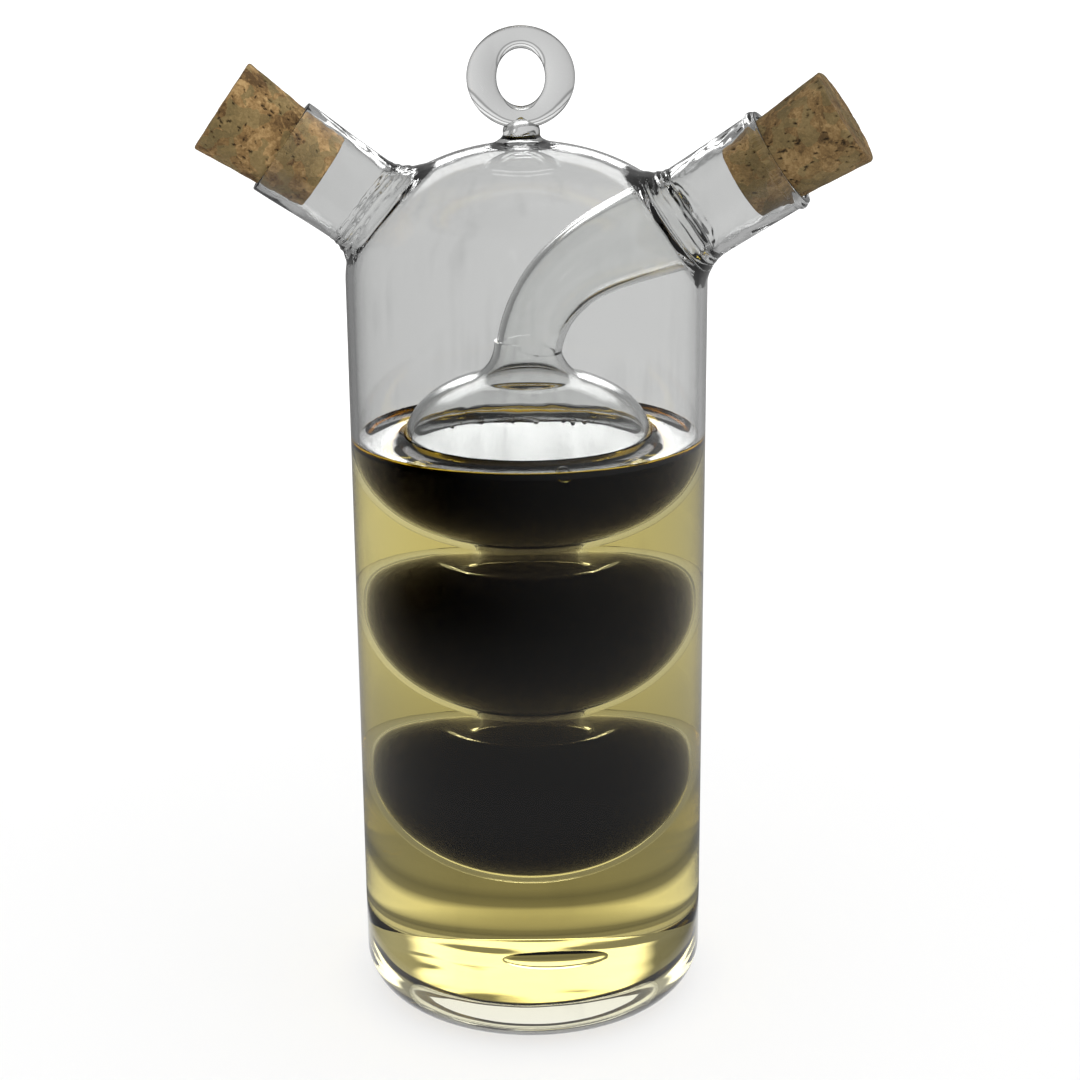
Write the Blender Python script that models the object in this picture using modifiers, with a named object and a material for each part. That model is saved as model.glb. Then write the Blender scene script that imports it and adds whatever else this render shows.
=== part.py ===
"""Dual oil and vinegar dispenser.

A blown glass flask holds a second flask of three stacked lobes. The outer flask pours through
the left spout. The inner one pours through a riser tube that opens into the right spout. A
cork closes each spout, and a glass ring on the crown hangs the flask up.
Metres, +Z up, origin at the middle of the base. The front faces -Y.
"""

import math

import bmesh
import bpy
from mathutils import Matrix, Vector

# Outer flask
BODY_RADIUS = 0.0325
BODY_WALL = 0.0013
SHOULDER_HEIGHT = 0.138
DOME_RISE = 0.024
HEEL_RADIUS = 0.008

# Inner flask: every lobe reaches down and up from its widest ring
VESSEL_LIFT = 0.0253
VESSEL_WALL = 0.0012
WAIST_RADIUS = 0.0073
WAIST_LENGTH = 0.001
LOW_LOBE_RADIUS = 0.021
LOW_LOBE_DROP = 0.0161
LOW_LOBE_RISE = 0.0165
MID_LOBE_RADIUS = 0.0215
MID_LOBE_DROP = 0.0162
MID_LOBE_RISE = 0.0159
TOP_LOBE_RADIUS = 0.0228
TOP_LOBE_DROP = 0.0175
TOP_LOBE_RISE = 0.0135
UNDERSIDE_POWER = 2.05
TOP_UNDERSIDE_POWER = 2.4
SHOULDER_POWER = 2.8
CROWN_POWER = 2.2

# Corks
CORK_LENGTH = 0.021
CORK_TIP_RADIUS = 0.0071
CORK_HEAD_RADIUS = 0.0089
CORK_EDGE = 0.0006
CORK_GAP = 0.0003
OIL_CORK_INSERTED = 0.0087
VINEGAR_CORK_INSERTED = 0.008

# Left spout, for oil
OIL_SPOUT_TURN = math.radians(185.5)
OIL_SPOUT_ELEVATION = math.radians(35.5)
OIL_ROOT_RISE = 0.0129
OIL_SPOUT_LENGTH = 0.0191
OIL_MOUTH_WALL = 0.0008
OIL_SPOUT_WALL = 0.0011
OIL_ROOT_FLARE = 0.001
OIL_ROOT_SAG = 0.0021

# Right spout, for vinegar, with a rolled lip
VINEGAR_SPOUT_TURN = math.radians(-13.0)
VINEGAR_SPOUT_ELEVATION = math.radians(33.2)
VINEGAR_ROOT_RISE = 0.0111
VINEGAR_SPOUT_LENGTH = 0.0199
VINEGAR_MOUTH_WALL = 0.0011
VINEGAR_SPOUT_WALL = 0.0015
VINEGAR_ROOT_FLARE = 0.0015
VINEGAR_ROOT_SAG = 0.0017
LIP_SWELL = 0.0004
LIP_LENGTH = 0.0021

# Both spouts
ROOT_FLARE_LENGTH = 0.0062
ROOT_FLARE_SINK = 0.002
RIM_ROUND = 0.0003

# Riser tube from the top lobe to the right spout
RISER_FOOT_RADIUS = 0.0086
RISER_NECK_RADIUS = 0.006
RISER_WALL = 0.0011
RISER_FOOT_LENGTH = 0.0045
RISER_WIDENING_START = 0.008
RISER_UP_HANDLE = 0.020
RISER_SIDE_HANDLE = 0.011
RISER_ARRIVAL_ANGLE = math.radians(22.0)

# Hanging loop, hand-drawn and thicker at its sides
LOOP_RADIUS = 0.0069
LOOP_SIDE_BEAD = 0.00265
LOOP_TOP_BEAD = 0.00197
LOOP_OFFSET = -0.0007
LOOP_LIFT = 0.0022
LOOP_FOOT_RADIUS = 0.0041
LOOP_STEM_RADIUS = 0.0034

# Liquid levels above the widest ring of the top lobe
OIL_RISE = 0.0008
VINEGAR_RISE = 0.0006

# Gap between fused or wetted neighbours, and the length by which cutters overrun
JOINT_GAP = 0.0003
OVERRUN = 0.006
MERGE_LIMIT = 0.00001

# Facets
TURN_STEPS = 36
DOME_STEPS = 9
HEEL_STEPS = 4
LOBE_STEPS = 4
CORK_SIDES = 28
FLARE_STEPS = 4
RISER_STEPS = 11
RISER_BEVEL_STEPS = 8
LOOP_STEPS = 28
LOOP_BEVEL_STEPS = 4
STEM_STEPS = 20
CORK_SMOOTH_ANGLE = math.radians(50.0)


def clear_scene():
    for item in list(bpy.data.objects):
        bpy.data.objects.remove(item, do_unlink=True)


def new_collection(name):
    collection = bpy.data.collections.new(name)
    bpy.context.scene.collection.children.link(collection)
    return collection


def principled(name, color, roughness, transmission=0.0, ior=1.5):
    material = bpy.data.materials.new(name)
    material.use_nodes = True
    material.diffuse_color = color
    shader = material.node_tree.nodes["Principled BSDF"]
    shader.inputs["Base Color"].default_value = color
    shader.inputs["Roughness"].default_value = roughness
    shader.inputs["Metallic"].default_value = 0.0
    shader.inputs["Transmission Weight"].default_value = transmission
    shader.inputs["IOR"].default_value = ior
    return material


def glass(name):
    return principled(name, (0.80, 0.83, 0.83, 1.0), 0.03, transmission=1.0, ior=1.49)


def add_object(name, mesh, collection, parent=None):
    item = bpy.data.objects.new(name, mesh)
    item.parent = parent
    collection.objects.link(item)
    return item


def turned(name, outline, collection, steps, parent=None):
    """Turn an outline of (radius, height) points about the object's own Z axis."""
    edges = [(i, i + 1) for i in range(len(outline) - 1)]
    mesh = bpy.data.meshes.new(name)
    mesh.from_pydata([(radius, 0.0, height) for radius, height in outline], edges, [])
    item = add_object(name, mesh, collection, parent)
    screw = item.modifiers.new("turn", "SCREW")
    screw.steps = steps
    screw.render_steps = steps
    screw.use_merge_vertices = True
    screw.merge_threshold = MERGE_LIMIT
    screw.use_smooth_shade = True
    return item


def tube(name, points, radii, bevel_steps, collection, ring=False):
    """Mesh of a round tube that follows the points, with a radius at each one."""
    curve = bpy.data.curves.new(name + "_path", "CURVE")
    curve.dimensions = "3D"
    curve.bevel_depth = radii[0]
    curve.bevel_resolution = bevel_steps
    curve.use_fill_caps = True
    spline = curve.splines.new("POLY")
    spline.points.add(len(points) - 1)
    spline.use_cyclic_u = ring
    for target, point, radius in zip(spline.points, points, radii):
        target.co = (point.x, point.y, point.z, 1.0)
        target.radius = radius / radii[0]
    path = add_object(name + "_path", curve, collection)
    mesh = bpy.data.meshes.new_from_object(path.evaluated_get(bpy.context.evaluated_depsgraph_get()))
    mesh.name = name
    shape = bmesh.new()
    shape.from_mesh(mesh)
    bmesh.ops.remove_doubles(shape, verts=shape.verts, dist=MERGE_LIMIT)
    bmesh.ops.recalc_face_normals(shape, faces=shape.faces)
    shape.to_mesh(mesh)
    shape.free()
    mesh.shade_smooth()
    item = add_object(name, mesh, collection)
    item.matrix_world = path.matrix_world
    bpy.data.objects.remove(path, do_unlink=True)
    bpy.data.curves.remove(curve)
    return item


def keep_shape(item):
    """Make the shape that the modifiers give an object its own mesh."""
    mesh = bpy.data.meshes.new_from_object(item.evaluated_get(bpy.context.evaluated_depsgraph_get()))
    item.modifiers.clear()
    item.data = mesh


def combine(item, other, operation):
    boolean = item.modifiers.new(operation.lower() + "_" + other.name, "BOOLEAN")
    boolean.operation = operation
    boolean.object = other


def as_cutter(item):
    item.hide_render = True
    item.display_type = "WIRE"
    return item


def ease(share):
    """Smooth step from 0 to 1."""
    share = min(max(share, 0.0), 1.0)
    return share * share * (3.0 - 2.0 * share)


def body_outline(inset):
    """Outline of the outer flask from its crown to the middle of its base, moved inward."""
    radius = BODY_RADIUS - inset
    rise = DOME_RISE - inset
    heel = HEEL_RADIUS - inset
    points = [(0.0, SHOULDER_HEIGHT + rise)]
    for step in range(1, DOME_STEPS + 1):
        angle = math.pi / 2.0 * (1.0 - step / DOME_STEPS)
        points.append((radius * math.cos(angle), SHOULDER_HEIGHT + rise * math.sin(angle)))
    for step in range(HEEL_STEPS + 1):
        angle = math.pi / 2.0 * step / HEEL_STEPS
        across = BODY_RADIUS - HEEL_RADIUS + heel * math.cos(angle)
        points.append((across, HEEL_RADIUS - heel * math.sin(angle)))
    points.append((0.0, inset))
    return points


class Lobe:
    """One swelling of the inner flask, a rounded super-ellipse in outline."""

    def __init__(self, base, drop, rise, radius, low_power, high_power):
        self.centre = base + drop
        self.top = self.centre + rise
        self.drop = drop
        self.rise = rise
        self.radius = radius
        self.low_power = low_power
        self.high_power = high_power

    def curve(self, half, power, end_radius, inset, direction):
        """Points from the widest ring to end_radius, upward or downward."""
        radius = self.radius - inset
        half = half - inset
        last = math.acos((end_radius / radius) ** (power / 2.0))
        points = []
        for step in range(LOBE_STEPS + 1):
            angle = last * step / LOBE_STEPS
            across = radius * math.cos(angle) ** (2.0 / power)
            if step == LOBE_STEPS:
                across = end_radius
            height = half * math.sin(angle) ** (2.0 / power)
            points.append((across, self.centre + direction * height))
        return points

    def to_waist(self, reach, power, inset, direction):
        """Points from the widest ring to the waist that starts within this reach."""
        narrow = (WAIST_RADIUS / self.radius) ** power
        half = (reach - WAIST_LENGTH / 2.0) / (1.0 - narrow) ** (1.0 / power)
        return self.curve(half, power, WAIST_RADIUS - inset, inset, direction)

    def shoulder(self, inset):
        return self.to_waist(self.rise, self.high_power, inset, 1.0)

    def underside(self, inset):
        return self.to_waist(self.drop, self.low_power, inset, -1.0)

    def bottom(self, inset):
        return self.curve(self.drop, self.low_power, 0.0, inset, -1.0)

    def crown(self, end_radius, inset):
        return self.curve(self.rise, self.high_power, end_radius, inset, 1.0)

    def level_radius(self, level, inset):
        """Radius at a height above the widest ring."""
        share = (level - self.centre) / (self.rise - inset)
        return (self.radius - inset) * (1.0 - share**self.high_power) ** (1.0 / self.high_power)


LOW_LOBE = Lobe(
    VESSEL_LIFT, LOW_LOBE_DROP, LOW_LOBE_RISE, LOW_LOBE_RADIUS, UNDERSIDE_POWER, SHOULDER_POWER
)
MID_LOBE = Lobe(
    LOW_LOBE.top, MID_LOBE_DROP, MID_LOBE_RISE, MID_LOBE_RADIUS, UNDERSIDE_POWER, SHOULDER_POWER
)
TOP_LOBE = Lobe(
    MID_LOBE.top, TOP_LOBE_DROP, TOP_LOBE_RISE, TOP_LOBE_RADIUS, TOP_UNDERSIDE_POWER, CROWN_POWER
)
THROAT_RADIUS = RISER_FOOT_RADIUS - RISER_WALL - VESSEL_WALL
CROWN_HEIGHT = TOP_LOBE.crown(RISER_FOOT_RADIUS, 0.0)[-1][1]
OIL_LEVEL = TOP_LOBE.centre + OIL_RISE
VINEGAR_LEVEL = TOP_LOBE.centre + VINEGAR_RISE
BORE_RADIUS = CORK_TIP_RADIUS + CORK_GAP


def vessel_outline(inset):
    """Outline of the inner flask from the widest ring of its top lobe down to its bottom."""
    points = TOP_LOBE.underside(inset)
    points += reversed(MID_LOBE.shoulder(inset))
    points += MID_LOBE.underside(inset)[1:]
    points += reversed(LOW_LOBE.shoulder(inset))
    points += LOW_LOBE.bottom(inset)[1:]
    return points


class Spout:
    """A tilted glass neck that leaves the dome at a set rise above the shoulder."""

    def __init__(self, name, turn, elevation, root_rise, length, inserted):
        self.name = name
        self.turn = turn
        self.elevation = elevation
        self.length = length
        self.inserted = inserted
        self.flare_start = length + ROOT_FLARE_SINK - ROOT_FLARE_LENGTH
        across = Vector((math.cos(turn), math.sin(turn), 0.0))
        up = Vector((0.0, 0.0, 1.0))
        reach = BODY_RADIUS * math.sqrt(1.0 - (root_rise / DOME_RISE) ** 2)
        self.direction = across * math.cos(elevation) + up * math.sin(elevation)
        self.root = across * reach + up * (SHOULDER_HEIGHT + root_rise)
        self.mouth = self.root + self.direction * length

    def set_glass(self, mouth_wall, wall, flare, sag, lip):
        self.mouth_radius = self.bore_radius(0.0) + mouth_wall
        self.neck_radius = BORE_RADIUS + wall
        self.flare = flare
        self.sag = sag
        self.lip = lip

    def bore_radius(self, depth):
        """Bore radius at a depth below the mouth: the cork's taper, then straight."""
        share = max(self.inserted - depth, 0.0) / CORK_LENGTH
        return BORE_RADIUS + (CORK_HEAD_RADIUS - CORK_TIP_RADIUS) * share

    def flare_share(self, depth):
        """Share of the root's flare at a depth: it ends just below the dome's surface."""
        share = (depth - self.flare_start) / ROOT_FLARE_LENGTH
        return min(max(share, 0.0), 1.0) ** 2

    def outer_radius(self, depth):
        """Outside radius at a depth below the mouth."""
        taper = ease(depth / self.flare_start)
        radius = self.mouth_radius + (self.neck_radius - self.mouth_radius) * taper
        if self.lip and depth < LIP_LENGTH:
            radius += LIP_SWELL * math.sin(math.pi * depth / LIP_LENGTH)
        return radius + self.flare * self.flare_share(depth)

    def depths(self):
        """Depths of the outside's rings from just below the rim to the buried end."""
        depths = [RIM_ROUND]
        if self.lip:
            depths += [LIP_LENGTH / 2.0, LIP_LENGTH]
        depths.append((LIP_LENGTH + self.flare_start) / 2.0)
        for step in range(FLARE_STEPS + 1):
            depths.append(self.flare_start + ROOT_FLARE_LENGTH * step / FLARE_STEPS)
        depths.append(self.length + OVERRUN)
        return depths


OIL_SPOUT = Spout(
    "oil_spout",
    OIL_SPOUT_TURN,
    OIL_SPOUT_ELEVATION,
    OIL_ROOT_RISE,
    OIL_SPOUT_LENGTH,
    OIL_CORK_INSERTED,
)
OIL_SPOUT.set_glass(OIL_MOUTH_WALL, OIL_SPOUT_WALL, OIL_ROOT_FLARE, OIL_ROOT_SAG, lip=False)
VINEGAR_SPOUT = Spout(
    "vinegar_spout",
    VINEGAR_SPOUT_TURN,
    VINEGAR_SPOUT_ELEVATION,
    VINEGAR_ROOT_RISE,
    VINEGAR_SPOUT_LENGTH,
    VINEGAR_CORK_INSERTED,
)
VINEGAR_SPOUT.set_glass(
    VINEGAR_MOUTH_WALL, VINEGAR_SPOUT_WALL, VINEGAR_ROOT_FLARE, VINEGAR_ROOT_SAG, lip=True
)


def spout_axis(spout, collection):
    """Empty at the mouth with +Z along the spout, which carries the bore and the cork."""
    axis = bpy.data.objects.new(spout.name + "_axis", None)
    axis.empty_display_size = CORK_LENGTH
    axis.location = spout.mouth
    axis.rotation_euler = (0.0, math.pi / 2.0 - spout.elevation, spout.turn)
    collection.objects.link(axis)
    return axis


def spout_bore(spout, axis, cutters):
    """Cutter for a spout's bore, which fits the cork and widens at the rim."""
    rim_radius = spout.bore_radius(0.0) + RIM_ROUND
    end = spout.length + OVERRUN * 2.0
    outline = [
        (0.0, OVERRUN),
        (rim_radius, OVERRUN),
        (rim_radius, 0.0),
        (spout.bore_radius(RIM_ROUND), -RIM_ROUND),
        (BORE_RADIUS, -spout.inserted),
        (BORE_RADIUS, -end),
        (0.0, -end),
    ]
    return as_cutter(turned(spout.name + "_bore", outline, cutters, CORK_SIDES, axis))


def make_spout(spout, axis, bore, envelope, collection):
    """Neck with a rounded rim, whose flared root sags where it meets the outer flask."""
    outline = [(0.0, 0.0), (spout.mouth_radius - RIM_ROUND, 0.0)]
    outline += [(spout.outer_radius(depth), -depth) for depth in spout.depths()]
    outline.append((0.0, outline[-1][1]))
    item = turned(spout.name, outline, collection, CORK_SIDES, axis)
    keep_shape(item)
    for vertex in item.data.vertices:
        vertex.co.x += spout.sag * spout.flare_share(-vertex.co.z)
    combine(item, bore, "DIFFERENCE")
    combine(item, envelope, "DIFFERENCE")
    item.data.materials.append(glass(spout.name + "_glass"))
    return item


def make_cork(name, spout, axis, collection):
    """Tapered cork with rounded ends, its origin on the spout's axis at the mouth."""
    mesh = bpy.data.meshes.new(name)
    shape = bmesh.new()
    middle = Matrix.Translation((0.0, 0.0, CORK_LENGTH / 2.0 - spout.inserted))
    bmesh.ops.create_cone(
        shape,
        cap_ends=True,
        segments=CORK_SIDES,
        radius1=CORK_TIP_RADIUS,
        radius2=CORK_HEAD_RADIUS,
        depth=CORK_LENGTH,
        matrix=middle,
    )
    rims = [edge for edge in shape.edges if abs(edge.verts[0].co.z - edge.verts[1].co.z) < MERGE_LIMIT]
    bmesh.ops.bevel(shape, geom=rims, offset=CORK_EDGE, segments=2, profile=0.5, affect="EDGES")
    shape.to_mesh(mesh)
    shape.free()
    mesh.shade_smooth()
    mesh.set_sharp_from_angle(angle=CORK_SMOOTH_ANGLE)
    mesh.materials.append(principled(name + "_bark", (0.35, 0.22, 0.10, 1.0), 0.85))
    return add_object(name, mesh, collection, axis)


def make_body(bores, cutters, collection):
    """Outer flask: a hollow cylinder with a dome, open where the two spouts leave it."""
    body = turned("outer_body", body_outline(0.0), collection, TURN_STEPS)
    hollow = as_cutter(turned("body_hollow", body_outline(BODY_WALL), cutters, TURN_STEPS))
    combine(body, hollow, "DIFFERENCE")
    for bore in bores:
        combine(body, bore, "DIFFERENCE")
    body.data.materials.append(glass("body_glass"))
    return body


def make_vessel(collection):
    """Inner flask: up the inside, through the throat and down the outside."""
    inside = list(reversed(vessel_outline(VESSEL_WALL)))
    inside += TOP_LOBE.crown(THROAT_RADIUS, VESSEL_WALL)[1:]
    outside = [(THROAT_RADIUS, CROWN_HEIGHT)]
    outside += list(reversed(TOP_LOBE.crown(RISER_FOOT_RADIUS, 0.0)))
    outside += vessel_outline(0.0)[1:]
    vessel = turned("inner_vessel", inside + outside, collection, TURN_STEPS)
    vessel.data.materials.append(glass("vessel_glass"))
    return vessel


def bezier(start, start_handle, end_handle, end, share):
    rest = 1.0 - share
    return (
        start * rest**3
        + start_handle * 3.0 * rest**2 * share
        + end_handle * 3.0 * rest * share**2
        + end * share**3
    )


def riser_radius(length, whole):
    """Outside radius of the riser: a foot, a narrow neck, then a slow widening to the spout."""
    foot = (RISER_FOOT_RADIUS - RISER_NECK_RADIUS) * (1.0 - ease(length / RISER_FOOT_LENGTH))
    widening = ease((length - RISER_WIDENING_START) / (whole - RISER_WIDENING_START))
    return RISER_NECK_RADIUS + foot + (BORE_RADIUS + RISER_WALL - RISER_NECK_RADIUS) * widening


def riser_tube(name, inset, start_overrun, end_overrun, collection):
    """Round bar along the riser's bend, from the throat to the right spout's root."""
    across = Vector((math.cos(VINEGAR_SPOUT.turn), math.sin(VINEGAR_SPOUT.turn), 0.0))
    up = Vector((0.0, 0.0, 1.0))
    start = up * (CROWN_HEIGHT + JOINT_GAP)
    arrival = across * math.cos(RISER_ARRIVAL_ANGLE) + up * math.sin(RISER_ARRIVAL_ANGLE)
    end = VINEGAR_SPOUT.root
    start_handle = start + up * RISER_UP_HANDLE
    end_handle = end - arrival * RISER_SIDE_HANDLE
    points = [
        bezier(start, start_handle, end_handle, end, step / RISER_STEPS) for step in range(RISER_STEPS + 1)
    ]
    points.insert(1, start + up * RISER_FOOT_LENGTH / 2.0)
    lengths = [0.0]
    for before, after in zip(points, points[1:]):
        lengths.append(lengths[-1] + (after - before).length)
    radii = [riser_radius(length, lengths[-1]) - inset for length in lengths]
    points.append(end + arrival * end_overrun)
    radii.append(radii[-1])
    if start_overrun > 0.0:
        points.insert(0, start - up * start_overrun)
        radii.insert(0, radii[0])
    return tube(name, points, radii, RISER_BEVEL_STEPS, collection)


def make_riser(room, cutters, collection):
    """Bent tube that carries vinegar to the right spout, ending at the outer flask's inside."""
    riser = riser_tube("riser_tube", 0.0, 0.0, OVERRUN, collection)
    bore = as_cutter(riser_tube("riser_bore", RISER_WALL, OVERRUN, OVERRUN * 2.0, cutters))
    combine(riser, room, "INTERSECT")
    combine(riser, bore, "DIFFERENCE")
    riser.data.materials.append(glass("riser_glass"))
    return riser


def make_loop(envelope, cutters, collection):
    """Glass ring on a short conical stem, seated on the crown."""
    crown = SHOULDER_HEIGHT + DOME_RISE
    ring_low = crown + LOOP_LIFT + LOOP_TOP_BEAD
    centre = Vector((LOOP_OFFSET, 0.0, ring_low + LOOP_RADIUS))
    points = []
    radii = []
    for step in range(LOOP_STEPS):
        angle = 2.0 * math.pi * step / LOOP_STEPS
        sideways = math.cos(angle) ** 2
        points.append(centre + Vector((math.cos(angle), 0.0, math.sin(angle))) * LOOP_RADIUS)
        radii.append(LOOP_TOP_BEAD + (LOOP_SIDE_BEAD - LOOP_TOP_BEAD) * sideways)
    loop = tube("hanging_loop", points, radii, LOOP_BEVEL_STEPS, collection, ring=True)
    outline = [
        (0.0, ring_low),
        (LOOP_TOP_BEAD, ring_low),
        (LOOP_STEM_RADIUS, crown + LOOP_LIFT),
        (LOOP_FOOT_RADIUS, crown),
        (LOOP_FOOT_RADIUS, crown - LOOP_TOP_BEAD),
        (0.0, crown - LOOP_TOP_BEAD),
    ]
    stem = as_cutter(turned("loop_stem", outline, cutters, STEM_STEPS))
    stem.location.x = LOOP_OFFSET
    combine(loop, stem, "UNION")
    combine(loop, envelope, "DIFFERENCE")
    loop.data.materials.append(glass("loop_glass"))
    return loop


def make_oil(collection):
    """Oil between the two flasks, up to its level."""
    outline = list(reversed(vessel_outline(-JOINT_GAP)))
    outline.append((TOP_LOBE.level_radius(OIL_LEVEL, -JOINT_GAP), OIL_LEVEL))
    outline.append((BODY_RADIUS - BODY_WALL - JOINT_GAP, OIL_LEVEL))
    outline += body_outline(BODY_WALL + JOINT_GAP)[DOME_STEPS + 1:]
    oil = turned("oil_fill", outline, collection, TURN_STEPS)
    oil.data.materials.append(principled("olive_oil", (0.62, 0.52, 0.14, 1.0), 0.02, 1.0, 1.47))
    return oil


def make_vinegar(collection):
    """Vinegar in the inner flask, up to its level."""
    inset = VESSEL_WALL + JOINT_GAP
    outline = [(0.0, VINEGAR_LEVEL), (TOP_LOBE.level_radius(VINEGAR_LEVEL, inset), VINEGAR_LEVEL)]
    outline += vessel_outline(inset)
    vinegar = turned("vinegar_fill", outline, collection, TURN_STEPS)
    vinegar.data.materials.append(principled("dark_vinegar", (0.02, 0.012, 0.008, 1.0), 0.02, 0.2, 1.35))
    return vinegar


def main():
    clear_scene()
    parts = new_collection("oil_vinegar_dispenser")
    cutters = new_collection("cutters")
    envelope = as_cutter(turned("body_envelope", body_outline(-JOINT_GAP), cutters, TURN_STEPS))
    room = as_cutter(turned("body_room", body_outline(BODY_WALL + JOINT_GAP), cutters, TURN_STEPS))

    bores = []
    for spout, cork_name in ((OIL_SPOUT, "oil_cork"), (VINEGAR_SPOUT, "vinegar_cork")):
        axis = spout_axis(spout, parts)
        bore = spout_bore(spout, axis, cutters)
        make_spout(spout, axis, bore, envelope, parts)
        make_cork(cork_name, spout, axis, parts)
        bores.append(bore)

    make_body(bores, cutters, parts)
    make_vessel(parts)
    make_riser(room, cutters, parts)
    make_loop(envelope, cutters, parts)
    make_oil(parts)
    make_vinegar(parts)


main()
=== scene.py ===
"""Looks of the dual oil and vinegar dispenser.

The flask's glass is one fused skin round the oil, the lobed vessel and its riser are a second
one inside it. Light that crosses from glass to a liquid bends only by the ratio of the two, so
every wetted wall has its own material. Metres, +Z up, the front faces -Y.
"""

import math
import random

import bpy
from mathutils import Matrix, Vector, noise


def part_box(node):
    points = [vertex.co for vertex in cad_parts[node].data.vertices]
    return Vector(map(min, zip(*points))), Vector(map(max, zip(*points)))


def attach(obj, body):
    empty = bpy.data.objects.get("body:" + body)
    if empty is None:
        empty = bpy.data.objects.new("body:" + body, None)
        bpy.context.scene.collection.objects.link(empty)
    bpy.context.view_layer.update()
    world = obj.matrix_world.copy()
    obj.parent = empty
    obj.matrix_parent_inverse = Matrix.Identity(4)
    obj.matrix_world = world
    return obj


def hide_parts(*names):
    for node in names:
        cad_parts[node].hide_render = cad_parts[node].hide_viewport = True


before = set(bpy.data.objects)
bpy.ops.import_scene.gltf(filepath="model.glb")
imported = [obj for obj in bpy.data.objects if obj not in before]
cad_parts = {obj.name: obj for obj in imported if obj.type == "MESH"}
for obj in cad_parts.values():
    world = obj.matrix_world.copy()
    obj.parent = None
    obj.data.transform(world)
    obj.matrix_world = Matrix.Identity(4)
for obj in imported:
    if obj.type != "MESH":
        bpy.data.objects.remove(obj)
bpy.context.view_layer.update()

MM = 0.001
UP = Vector((0.0, 0.0, 1.0))
FULL_TURN = 2.0 * math.pi
QUARTER_TURN = math.pi / 2.0

# Sizes that the frame gives
BODY_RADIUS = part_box("outer_body")[1].x
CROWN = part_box("outer_body")[1].z
VESSEL_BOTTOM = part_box("inner_vessel")[0].z
OIL_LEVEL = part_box("oil_fill")[1].z
VINEGAR_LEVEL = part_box("vinegar_fill")[1].z
RING_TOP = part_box("hanging_loop")[1].z

# Outer flask
BODY_WALL = 1.3 * MM
DOME_RISE = 24.0 * MM
SHOULDER = CROWN - DOME_RISE
HEEL_RADIUS = 8.0 * MM
KICK_RISE = 6.0 * MM
KICK_FLAT_RADIUS = 20.2 * MM
KICK_FOOT_RADIUS = 24.3 * MM
KICK_SAG = 0.06
KICK_RIPPLE = 0.16 * MM
KICK_RIPPLES_PER_METRE = 140.0
PONTIL_RADIUS = 6.1 * MM
PONTIL_DEPTH = 0.9 * MM
PONTIL_PLACE = (2.5 * MM, 5.5 * MM, KICK_RISE)

# Inner flask
VESSEL_WALL = 1.2 * MM
WAIST_RADIUS = 7.3 * MM
WAIST_LENGTH = 1.0 * MM
WAIST_FILLET = 3.2 * MM
DIMPLE_DEPTH = 2.6 * MM
DIMPLE_RADIUS = 12.6 * MM
UNDERSIDE_POWER = 2.05
TOP_UNDERSIDE_POWER = 2.4
SHOULDER_POWER = 2.8
CROWN_POWER = 2.2
LOBES = (
    {"radius": 21.0 * MM, "drop": 16.1 * MM, "rise": 16.5 * MM},
    {"radius": 21.5 * MM, "drop": 16.2 * MM, "rise": 15.9 * MM},
    {"radius": 22.8 * MM, "drop": 17.5 * MM, "rise": 13.5 * MM},
)

# Riser tube, and the foot of it on the top lobe
RISER_START = 120.56 * MM
RISER_WALL = 1.1 * MM
RISER_NECK_RADIUS = 6.0 * MM
RISER_END_RADIUS = 8.5 * MM
RISER_WIDENING_START = 8.0 * MM
RISER_UP_HANDLE = 20.0 * MM
RISER_SIDE_HANDLE = 11.0 * MM
RISER_ARRIVAL = math.radians(22.0)
RISER_SINK = 0.35 * MM
RISER_LAP = 0.05 * MM
FOOT_SPREAD = 10.4 * MM
FOOT_TOP = 126.4 * MM
FOOT_LOW_HANDLE = 2.6 * MM
FOOT_TOP_HANDLE = 3.4 * MM

# Spouts
BORE_RADIUS = 7.4 * MM
RIM_ROUND = 0.3 * MM
LIP_LENGTH = 2.1 * MM
ROOT_SKIRT = {"width": 0.5 * MM, "drop": 0.06 * MM, "depth": 0.6 * MM}
SPOUTS = {
    "oil": {
        "turn": math.radians(185.5),
        "elevation": math.radians(35.5),
        "root_rise": 12.9 * MM,
        "length": 19.1 * MM,
        "inserted": 8.7 * MM,
        "mouth_wall": 0.8 * MM,
        "wall": 1.1 * MM,
        "lip": 0.0,
        "fillet": 4.6 * MM,
        "under_share": 0.55,
        "trumpet": 2.4 * MM,
        "seed": 0.0,
    },
    "vinegar": {
        "turn": math.radians(-13.0),
        "elevation": math.radians(33.2),
        "root_rise": 11.1 * MM,
        "length": 19.9 * MM,
        "inserted": 8.0 * MM,
        "mouth_wall": 1.1 * MM,
        "wall": 1.5 * MM,
        "lip": 0.4 * MM,
        "fillet": 4.4 * MM,
        "under_share": 0.8,
        "trumpet": 0.0,
        "seed": 7.0,
    },
}

# Ripples of the weld round a spout's root
WELD_PLACE = 1.6 * MM
WELD_REACH = 1.9 * MM
WELD_HEIGHT = 0.16 * MM
WELD_PITCH = 1.15 * MM
WELD_CHANGES = 2.0
WELD_WANDER = 2.2
WELD_STRENGTH = 0.6
WELD_UNEVENNESS = 0.8
WELD_PATCHES = 2.3
WELD_PATCHES_START = Vector((0.0, 0.0, 5.0))
WELD_IN_BORE = 0.7

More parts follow.
